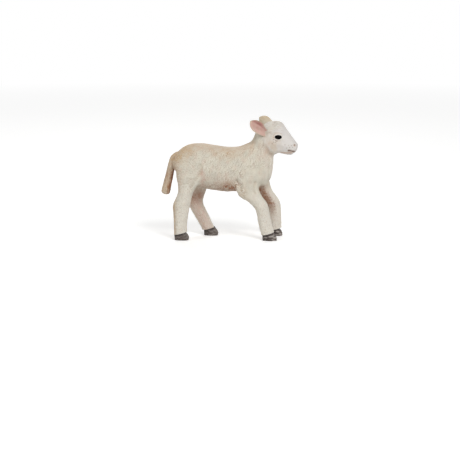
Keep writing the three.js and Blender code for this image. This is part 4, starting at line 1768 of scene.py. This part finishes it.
    def clothe(self, clay: Clay) -> tuple[Skin, dict[str, Array]]:
        """Raises the locks on a block of the smooth lamb, and paints it.

        Args:
            clay: The block.

        Returns:
            The clothed surface, and how much of each paint lies at its corners.
        """
        skin = clay.fine_skin(2, 1)
        normals = clay.normals(skin.points)
        woolly = 1 - self.head.bare(skin.points)
        relief, strand = self.fleece.relief(skin.points)
        # The modeller's tool leaves no pits between locks, only shallow grooves.
        relief = np.maximum(relief, skin.spread(relief, 5) - 0.035)
        skin.points = skin.points + normals * (relief - self.coat_depth * (0.5 + 0.5 * woolly))[:, None]
        masks = self.paint(skin.points, normals)
        masks["groove"] = skin.hollows(0.06)
        masks["strand"] = strand
        return skin, masks

    def paint(self, points: Array, normals: Array) -> dict[str, Array]:
        """Returns how much of each paint lies at each corner."""
        x, y, z = points.T
        nx, ny, nz = normals.T
        out = ny * np.where(y < 0, -1.0, 1.0)
        blot = drift(points, 4.0, 61)
        fleck = drift(points, 1.3, 62)
        bare = self.head.bare(points, 2.4)
        leg = ramp(z, 23, 17) * (x > -24)
        head = self.head.ahead_of_neck(x, z)
        tail = ramp(x, -22, -24)
        drawn = self.head.turn(points, back=True)
        # Tan, from a nearly dry brush: spine, rump, tail, rear edges, elbows, crest, cheeks and low flank.
        spine = ramp(nz + 0.12 * blot, 0.4, 0.95) * (1 - head) * (1 - leg)
        rump = ramp(x, -12.5, -20.5) * ramp(z + 0.3 * x, 23, 28) * ramp(nz - 0.4 * nx, 0.1, 0.8)
        haunch_edge = ramp(-nx + 0.2 * fleck, 0.3, 0.8) * ramp(x, -17, -21) * ramp(z, 19, 23)
        haunch_edge = haunch_edge * (1 - tail)
        rear_edge = ramp(-nx + 0.25 * fleck, 0.5, 1) * leg * ramp(z, 1, 9)
        elbow = hill(x, 7, 4.5) * hill(z, 20, 6.5) * ramp(-nx, -0.3, 0.7)
        crest = ramp(-nx + 0.6 * nz, 0.7, 1.3) * ramp(z, 38, 40) * (1 - head)
        cheek = head * hill(drawn[:, 0], 19.8, 6.2) * hill(z, 41.3, 5.8) * ramp(out, 0.1, 0.7)
        crown = head * ramp(z, 46, 49)
        low_edge = ramp(z, 27, 24) * hill(x, 0, 5.5) * ramp(z, 22, 23.5)
        streak = hill(x, -1, 9) * hill(z, 37, 3.5) * ramp(out, 0.1, 0.5)
        speck = drift(points, 0.8, 63)
        freckles = leg * ramp(z, 20, 15) * ramp(speck + 0.5 * fleck, 0.4, 1.2)
        tan = 0.4 * low_edge + 0.2 * streak + 0.4 * spine + 0.62 * rump + 0.3 * rear_edge
        tan = tan + 0.5 * crest + 0.5 * elbow + 0.4 * cheek + 0.35 * haunch_edge
        tan = tan + 0.55 * tail + 0.16 * ramp(fleck + blot, 0.2, 1.5) + 0.3 * freckles
        # Brown, from a thin wash: belly and the inside of the tail. The belly's downward-facing underside,
        # the armpits, the insides of the legs and the rear edges of the forelegs are darkened as painted
        # shade too, where shade falls under the body and between the legs.
        between = np.maximum(ramp(np.abs(x + 3.2), 9, 7), ramp(-nz, 0.5, 0.9))
        underside_wash_and_shade = ramp(-nz + 0.3 * fleck + 0.12 * ramp(x, -8, -2), 0.3, 0.9)
        belly = between * underside_wash_and_shade * (0.5 + 0.38 * ramp(x, -7, 0)) * ramp(z, 26.5, 22.5)
        belly = belly * (1 - leg) * (1 - tail)
        fore = ramp(x, 0, 5)
        inner = ramp(-out + 0.2 * fleck, 0.1, 0.8) * np.maximum(leg, fore * ramp(z, 25, 21.5))
        rearward = ramp(-nx - 0.6 * out + 0.15 * speck, -0.05, 0.9)
        armpit_shade = inner * (ramp(z, 12, 20) * (1 - fore) + ramp(z, 5, 17) * fore * rearward)
        tail_inside = tail * ramp(nx + 0.3 * fleck, 0.2, 0.8)
        brown = belly + armpit_shade * (0.75 + 0.4 * fore) + 0.6 * tail_inside + 0.32 * low_edge
        brown = brown + tail * (0.12 + 0.28 * hill(z, 27, 6) + 0.15 * ramp(blot, -0.4, 0.8))
        # Rose, from a light spray: a trace on spine, cheeks and throat. The rest is painted light and shade:
        # painted shade in the flank folds, and painted warm light reflected up from below on the low flank,
        # throat, chest, cheeks and insides of the legs.
        flank_fold_shade = hill(x, -11.4, 2) * ramp(z, 33, 28.5) * ramp(z, 19, 23) * ramp(out, 0.2, 0.8)
        low_flank = hill(z, 26, 5) * hill(x, -2, 9) * ramp(out, 0.2, 0.8)
        throat = hill(drawn[:, 0], 16.2, 4.2) * hill(z, 39.5, 7.5) * ramp(drawn[:, 0] - 0.35 * z, -1.2, 1.5)
        lit_chest = ramp(nx, 0.35, 0.9) * ramp(x, 12, 15) * ramp(z, 24, 28) * (1 - head)
        rose = (0.8 * flank_fold_shade + 0.45 * low_flank + 0.55 * throat + 0.2 * lit_chest) * (0.75 + 0.25 * blot)
        rose = rose + 0.25 * ramp(blot - fleck, 0.5, 1.6) + 0.3 * spine + 0.25 * cheek + 0.35 * haunch_edge
        hind_inside_warm_light = inner * ramp(x, 0, -5)
        rose = rose + inner * (0.55 - 0.3 * fore) + 0.3 * hind_inside_warm_light
        # Pale, brushed on thickly: face, muzzle and legs. The crown, chest, thighs, rear edges and the fronts
        # and lower parts of the legs get more as painted highlights, and the insides of the hind legs less as
        # painted shade.
        muzzle = ramp(drawn[:, 0], 19.5, 23.5) * head
        thigh_highlight = ramp(x, -11, -13) * hill(z, 23, 6) * ramp(out, 0.2, 0.8)
        pale = bare * (0.75 + 0.25 * muzzle) + leg * (0.5 + 0.4 * ramp(nx, -0.4, 0.6)) + 0.5 * ramp(z, 16, 5)
        pale = pale * (1 - 0.35 * leg * ramp(speck, 0.3, 0.9)) * (1 - 0.6 * cheek) * (1 - 0.6 * hind_inside_warm_light)
        pale = pale + 0.25 * ramp(fleck, 0.3, 1) + 0.4 * (crown + rear_edge) + 0.6 * lit_chest + 0.35 * thigh_highlight
        pale = pale * (1 - 0.8 * belly) * (1 - 0.8 * armpit_shade) * (1 - tail)
        return {"tan": tan, "brown": brown, "rose": rose, "pale": pale}

    def tail_region(self, clay: Clay) -> Array:
        """Returns a value below 0 where the tail is, rather than the trunk."""
        rest = Clay(clay.low, clay.low + (np.array(clay.shape) - 1.001) * clay.step, clay.step)
        rest.add(self.trunk.barrel_form())
        for leg in self.legs:
            rest.add(leg.form(), 1.4)
        return clay.reading(self.tail.form()) - rest.values

    def torso(self) -> Moulding:
        """Models the barrel and the neck."""
        clay = self.block((-27.0, -11.0, 18.6), (22.5, 11.0, 48.5), 0.4)
        seam = self.tail.cut()
        below = 0.7 - clay.beyond(seam.point, seam.keep)
        # A little below its seam the stump starts to narrow inside the tail.
        clay.values = clay.values + np.clip(-np.maximum(below, self.tail_region(clay)), 0.0, 2.0)
        skin, masks = self.clothe(clay)
        cuts = (Cut((0, 0, LEGS[0].seam), (0, 0, 1)), self.trunk.head_cut().flipped())
        return Moulding("torso", "fleece_vinyl", skin, masks, cuts)

    def head_piece(self) -> Moulding:
        """Models the head, down to its seam with the neck."""
        clay = self.block((9.5, -9.0, 35.0), (32.0, 7.0, 53.2), 0.22)
        dabs = self.head.features(clay)
        skin, masks = self.clothe(clay)
        for dab in dabs:
            dab.touch(skin.points, masks)
        return Moulding("head", "face_vinyl", skin, masks, (self.trunk.head_cut(),))

    def leg_piece(self, leg: Leg) -> Moulding:
        """Models one leg, from its seam with the trunk down to the coronet."""
        keys = leg.keys()
        near, far = sorted((leg.flank.value * 0.6, leg.flank.value * 11.0))
        low = (keys[:, 0].min() - 7.0, near, 0.4)
        high = (keys[:, 0].max() + 7.0, far, leg.seam + 1.2)
        clay = Clay(low, high, 0.26)
        clay.add(self.trunk.barrel_form())
        clay.add(leg.form(), 1.4)
        self.press_folds(clay)
        flare = 0.14 * ramp(-clay.beyond(leg.coronet().point, leg.coronet().keep), -1.3, 0)
        clay.values = clay.values - flare
        skin, masks = self.clothe(clay)
        cuts = (Cut((0, 0, leg.seam), (0, 0, -1)), leg.coronet())
        return Moulding(leg.name, "fleece_vinyl", skin, masks, cuts)

    def tail_piece(self) -> Moulding:
        """Models the tail, from its seam down."""
        clay = self.block((-31.0, -4.0, 16.0), (-19.0, 4.0, 37.5), 0.26)
        clay.values = np.maximum(clay.values, self.tail_region(clay) - 0.15)
        skin, masks = self.clothe(clay)
        return Moulding("tail", "tail_vinyl", skin, masks, (self.tail.cut(),))


# Finishes


Inputs = dict[int | str, object]
# Inputs of the node that maps a span of a value to another span.
SPAN = ("Value", "From Min", "From Max", "To Min", "To Max")
# Where the colour mixing node takes its share, the colour below and the one above, and gives their mix.
SHARE, BELOW, ABOVE, MIXED = 0, 6, 7, 2
WHITE = (1.0, 1.0, 1.0, 1.0)


def colour(code: str) -> tuple[float, float, float, float]:
    """Turns an sRGB hex code into a linear colour."""
    parts = [int(code[i : i + 2], 16) / 255 for i in (1, 3, 5)]
    linear = [c / 12.92 if c <= 0.04045 else ((c + 0.055) / 1.055) ** 2.4 for c in parts]
    return (*linear, 1.0)


def per_metre(size: float) -> float:
    """Returns the texture scale that gives features of a size in millimetres."""
    return 1.0 / (size * MM)


def feed(tree: bpy.types.NodeTree, node: bpy.types.Node, inputs: Inputs) -> None:
    """Feeds a node.

    Args:
        tree: The node tree.
        node: The node.
        inputs: Input name or number to a value, or to the socket that feeds it.
    """
    for key, value in inputs.items():
        if isinstance(value, bpy.types.NodeSocket):
            tree.links.new(value, node.inputs[key])
        else:
            node.inputs[key].default_value = value


def add_node(
    tree: bpy.types.NodeTree, kind: str, inputs: Inputs, output: int | str = 0, **settings: object
) -> bpy.types.NodeSocket:
    """Adds a node.

    Args:
        tree: The node tree.
        kind: Blender's name of the node type, without the part that all share.
        inputs: As feed takes them.
        output: Name or number of the output that is wanted.
        settings: The node's own settings.

    Returns:
        The output's socket.
    """
    node = tree.nodes.new(f"ShaderNode{kind}")
    for name, value in settings.items():
        setattr(node, name, value)
    feed(tree, node, inputs)
    return node.outputs[output]


def new_material(
    name: str,
) -> tuple[bpy.types.Material, bpy.types.NodeTree, bpy.types.Node, bpy.types.NodeSocket]:
    """Returns a new material with its node tree, its shader and the socket of the place on the object."""
    material = bpy.data.materials.new(name)
    material.use_nodes = True
    tree = material.node_tree
    return material, tree, tree.nodes["Principled BSDF"], add_node(tree, "TexCoord", {}, "Object")


def put(name: str, data: bpy.types.ID) -> bpy.types.Object:
    """Returns a new object that puts the data in the scene."""
    thing = bpy.data.objects.new(name, data)
    bpy.context.scene.collection.objects.link(thing)
    return thing


@dataclass(frozen=True)
class PaintedVinyl:
    """Soft PVC cast in a steel tool, sprayed one colour, then washed and dry-brushed by hand.

    To the eye it is matt with a faint satin on the ridges: thin brown paint has settled in the grooves,
    an almost dry brush has left paler colour on what stands out, and the sprayed coat is softly mottled.
    In places the brown, rose and pale paints stand in for light: painted shade, painted warm light, painted
    highlights.

    Attributes:
        name: Name of the finish.
        base: The sprayed colour.
        mottle: What the sprayed colour drifts to.
        tan: Dry-brushed warm colour.
        brown: Thin brown wash, also laid as painted shade.
        rose: Pinkish spray, also laid as painted shade in folds and painted warm reflected light.
        pale: Dry-brushed pale colour, also laid as painted highlights.
        settled: Colour of the wash that has settled in grooves.
        wash: How strongly grooves are darkened.
        brush: How strongly ridges are lightened.
        cover: How well the highlight covers where it is laid on.
        roughness: Roughness of the dried paint.
        mottle_size: Size of the mottling in millimetres.
        patch_size: Size of the patches in which the coats turn out thick or thin, in millimetres.
        grain_size: Size of the paint's grain in millimetres. The real grain, near 0.05, would not show.
        grain_depth: Depth of the grain in millimetres.
        strand_size: From one strand of a lock to the next in millimetres.
        strand_depth: Depth of the strands, over the grain's.
    """

    name: str
    base: str = "#d6cfbe"
    mottle: str = "#cbc4b4"
    tan: str = "#c3a57c"
    brown: str = "#935a34"
    rose: str = "#cba998"
    pale: str = "#ebe6dc"
    settled: str = "#b08a66"
    wash: float = 0.55
    brush: float = 0.65
    cover: float = 0.6
    roughness: float = 0.55
    mottle_size: float = 3.0
    patch_size: float = 1.1
    grain_size: float = 0.35
    grain_depth: float = 0.02
    strand_size: float = 0.27
    strand_depth: float = 1.1

    def material(self) -> bpy.types.Material:
        """Builds the material."""
        material, tree, shader, place = new_material(self.name)
        patches, mottle, grain = (
            add_node(tree, "TexNoise", {"Vector": place, "Scale": per_metre(size), "Detail": 2.0}, "Fac")
            for size in (self.patch_size, self.mottle_size, self.grain_size)
        )
        masks = {name: add_node(tree, "Attribute", {}, "Fac", attribute_name=name) for name in MASKS}
        spans = (
            (patches, 0.3, 0.65, 0.55, 1.15),
            (mottle, 0.35, 0.65, 0.0, 1.0),
            (grain, 0.3, 0.7, self.roughness - 0.08, self.roughness + 0.1),
            (masks["groove"], 0.5, 0.15, 0.0, self.brush),
            (masks["brown"], 0.0, 1.0, 1.0, 0.35),
            (masks["groove"], 0.52, 0.95, 0.0, self.wash),
        )
        patchy, mottled, rough, ridge, unwashed, washed = (
            add_node(tree, "MapRange", dict(zip(SPAN, row)), "Result") for row in spans
        )
        # Each coat from the bottom up: two values whose product is its share, its colour and how it is laid.
        coats = (
            (mottled, 1.0, self.mottle, "MIX"),
            (masks["rose"], patchy, self.rose, "MIX"),
            (masks["tan"], patchy, self.tan, "MIX"),
            (masks["brown"], patchy, self.brown, "MIX"),
            (ridge, unwashed, self.pale, "LIGHTEN"),
            (masks["pale"], self.cover, self.pale, "MIX"),
            (washed, 1.0, self.settled, "MULTIPLY"),
        )
        coat: object = colour(self.base)
        for value, cover, code, blend in coats:
            share = add_node(tree, "Math", {0: value, 1: cover}, operation="MULTIPLY", use_clamp=True)
            inputs = {SHARE: share, BELOW: coat, ABOVE: colour(code)}
            coat = add_node(tree, "Mix", inputs, MIXED, data_type="RGBA", blend_type=blend)
        turns_per_span = 2 * math.pi * STRAND_SPAN / self.strand_size
        turns = add_node(tree, "Math", {0: masks["strand"], 1: turns_per_span}, operation="MULTIPLY")
        strands = add_node(tree, "Math", {0: turns}, operation="SINE")
        inputs = {0: strands, 1: self.strand_depth, 2: grain}
        height = add_node(tree, "Math", inputs, operation="MULTIPLY_ADD")
        bump = add_node(tree, "Bump", {"Height": height, "Distance": self.grain_depth * MM, "Strength": 1.0})
        feed(tree, shader, {"Base Color": coat, "Roughness": rough, "Normal": bump, "IOR": 1.48})
        return material


@dataclass(frozen=True)
class GlossEnamel:
    """Black gloss enamel, one drop to each eye.

    To the eye it is a smooth deep black, since its reflection is turned far down, and only where the coat is
    thin does it look a little brown.

    Attributes:
        name: Name of the finish.
        base: The enamel.
        thin: The enamel where it thins.
        roughness: Roughness of the enamel.
        swirl_size: From one brush swirl to the next in millimetres. The real ones, near 0.1, would not show.
        swirl_depth: Depth of the swirls in millimetres.
        reflection: Strength of its reflection, where 0.5 is that of a bare gloss coat.
    """

    name: str = "black_gloss_enamel"
    base: str = "#040303"
    thin: str = "#0b0807"
    roughness: float = 0.09
    swirl_size: float = 0.5
    swirl_depth: float = 0.01
    reflection: float = 0.035

    def material(self) -> bpy.types.Material:
        """Builds the material."""
        material, tree, shader, place = new_material(self.name)
        noise = {"Vector": place, "Scale": per_metre(self.swirl_size), "Detail": 2.0}
        swirl = add_node(tree, "TexNoise", noise, "Fac")
        inputs = {SHARE: swirl, BELOW: colour(self.base), ABOVE: colour(self.thin)}
        coat = add_node(tree, "Mix", inputs, MIXED, data_type="RGBA")
        row = (swirl, 0.3, 0.7, self.roughness, self.roughness + 0.06)
        rough = add_node(tree, "MapRange", dict(zip(SPAN, row)), "Result")
        bump = add_node(tree, "Bump", {"Height": swirl, "Distance": self.swirl_depth * MM, "Strength": 1.0})
        feed(tree, shader, {"Base Color": coat, "Roughness": rough, "Normal": bump, "IOR": 1.5})
        feed(tree, shader, {"Specular IOR Level": self.reflection})
        return material


FINISHES = {
    "fleece_vinyl": PaintedVinyl("ivory_fleece_vinyl"),
    "face_vinyl": PaintedVinyl(
        "pale_face_vinyl", brown="#6a4434", pale="#dfdad6", cover=0.9, wash=0.8, roughness=0.5, grain_size=0.3
    ),
    # On the ear, the brown is painted shadow under the upper rim and the pale is mostly painted light.
    "ear_vinyl": PaintedVinyl(
        "rose_ear_vinyl", base="#c8bba5", rose="#c5938b", brown="#aa706a", tan="#bda886", settled="#c09a8a",
        pale="#cbaaa0", brush=0.25,
    ),
    "tail_vinyl": PaintedVinyl("washed_tail_vinyl", wash=0.7),
    # The hoof's brown is dark paint and painted shade under the fleece's edge at the coronet.
    "hoof_paint": PaintedVinyl(
        "dark_hoof_paint", base="#564a44", mottle="#3d322d", brown="#231a16", pale="#b9b2aa",
        settled="#6a5a4e", brush=0.6, roughness=0.42, grain_size=0.3, grain_depth=0.025,
    ),
    "eye_gloss": GlossEnamel(),
}


# The studio


@dataclass(frozen=True)
class Studio:
    """A pale floor, soft lamps and the camera.

    Attributes:
        azimuth: Degrees round the lamb from its right side.
        elevation: Degrees above the horizon.
        distance: From the camera to the aim.
        lens: Focal length.
        aim: Where the camera looks, in the drawing frame.
    """

    azimuth: float = 2.0
    elevation: float = 10.5
    distance: float = 600.0
    lens: float = 107.0
    aim: Point = (0.2, 0.0, 3.2)

    def set_up(self, shift: Array) -> None:
        """Builds the floor, the world, the lamps and the camera."""
        self._floor()
        self._world()
        self._lamp("key", (230, -420, 430), 260, 1.95)
        self._lamp("fill", (-420, -330, 260), 380, 0.56)
        self._lamp("back", (-60, 430, 480), 300, 0.85)
        self._camera(shift)
        bpy.context.scene.view_settings.view_transform = "Standard"

    def _floor(self) -> None:
        """Lays the floor, which stays white to the camera but for the lamb's shadow."""
        size = 9.0
        mesh = bpy.data.meshes.new("floor")
        corners = [(-size, -size, 0), (size, -size, 0), (size, size, 0), (-size, size, 0)]
        mesh.from_pydata(corners, [], [(0, 1, 2, 3)])
        material, tree, shader, place = new_material("white_card")
        fibre = add_node(tree, "TexNoise", {"Vector": place, "Scale": per_metre(4.0)}, "Fac")
        inputs = {SHARE: fibre, BELOW: colour("#f4f4f3"), ABOVE: colour("#f9f9f8")}
        tint = add_node(tree, "Mix", inputs, MIXED, data_type="RGBA")
        feed(tree, shader, {"Base Color": tint, "Roughness": 0.8})
        far = add_node(tree, "VectorMath", {0: place}, "Value", operation="LENGTH")
        away = add_node(tree, "MapRange", dict(zip(SPAN, (far, 0.1, 0.9, 0.0, 1.0))), "Result")
        seen = add_node(tree, "LightPath", {}, "Is Camera Ray")
        share = add_node(tree, "Math", {0: away, 1: seen}, operation="MULTIPLY")
        lift = add_node(tree, "Math", {0: seen, 1: 0.28}, operation="MULTIPLY")
        white, glow = (
            add_node(tree, "Emission", {"Color": WHITE, "Strength": strength}) for strength in (1.0, lift)
        )
        card = add_node(tree, "AddShader", {0: shader.outputs[0], 1: glow})
        mix = add_node(tree, "MixShader", {0: share, 1: card, 2: white})
        feed(tree, tree.nodes["Material Output"], {"Surface": mix})
        mesh.materials.append(material)
        put("floor", mesh)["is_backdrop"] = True

    def _world(self) -> None:
        """Makes the surroundings white to look at, and a soft dim light on the lamb."""
        world = bpy.data.worlds.new("studio")
        bpy.context.scene.world = world
        world.use_nodes = True
        tree = world.node_tree
        tree.nodes.clear()
        seen: object = 0.0
        for kind in ("Camera", "Glossy", "Transmission"):
            ray = add_node(tree, "LightPath", {}, f"Is {kind} Ray")
            seen = add_node(tree, "Math", {0: seen, 1: ray}, operation="MAXIMUM")
        dim, white = (
            add_node(tree, "Background", {"Color": WHITE, "Strength": strength}) for strength in (0.38, 1.0)
        )
        mix = add_node(tree, "MixShader", {0: seen, 1: dim, 2: white})
        feed(tree, tree.nodes.new("ShaderNodeOutputWorld"), {"Surface": mix})

    def _lamp(self, name: str, place: Point, size: float, watts: float) -> None:
        """Hangs a soft square lamp that shines on the lamb's middle."""
        light = bpy.data.lights.new(name, "AREA")
        light.size = size * MM
        light.energy = watts
        lamp = put(name, light)
        lamp.location = Vector(place) * MM
        lamp.rotation_euler = (Vector((0, 0, 28)) - Vector(place)).to_track_quat("-Z", "Y").to_euler()

    def _camera(self, shift: Array) -> None:
        """Puts the camera at the photograph's place."""
        data = bpy.data.cameras.new("camera")
        data.lens = self.lens
        camera = put("camera", data)
        a, e = math.radians(self.azimuth), math.radians(self.elevation)
        back = Vector((math.sin(a) * math.cos(e), -math.cos(a) * math.cos(e), math.sin(e)))
        aim = Vector(np.array(self.aim) + shift) * MM
        camera.location = aim + back * self.distance * MM
        camera.rotation_euler = (-back).to_track_quat("-Z", "Y").to_euler()
        data.clip_start, data.clip_end = 0.01, 50.0
        bpy.context.scene.camera = camera


def main() -> None:
    """Builds the lamb piece by piece, then the studio."""
    logging.basicConfig(level=logging.INFO, format="%(message)s")
    lamb = Lamb()
    shift = lamb.shift()
    log.info("drawing to frame: %s mm", np.round(shift, 4))
    materials = {slot: finish.material() for slot, finish in FINISHES.items()}
    lamb.comb()
    mouldings = [lamb.torso(), lamb.head_piece(), lamb.tail_piece()]
    mouldings += [lamb.leg_piece(leg) for leg in lamb.legs]
    mouldings += [leg.hoof() for leg in lamb.legs]
    mouldings.append(Ear("ear_right", Flank.RIGHT, lamb.head).model())
    # In the photograph the left ear stands a little wider and further ahead.
    left = Ear("ear_left", Flank.LEFT, lamb.head, root=(0.19, 0.36, 0.205), width=5.7, shoulder=-0.4)
    mouldings.append(left.model())
    for flank, name in ((Flank.RIGHT, "right"), (Flank.LEFT, "left")):
        mouldings.append(lamb.head.eye_piece(flank.value, f"eye_{name}"))
    for moulding in mouldings:
        moulding.hand_over(shift, materials[moulding.slot])
    Studio().set_up(shift)
    boxes = {"cad": CAD_BOX, "visual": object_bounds()}
    json.dumps({name: [list(corner) for corner in box] for name, box in boxes.items()})


if __name__ == "__main__":
    main()
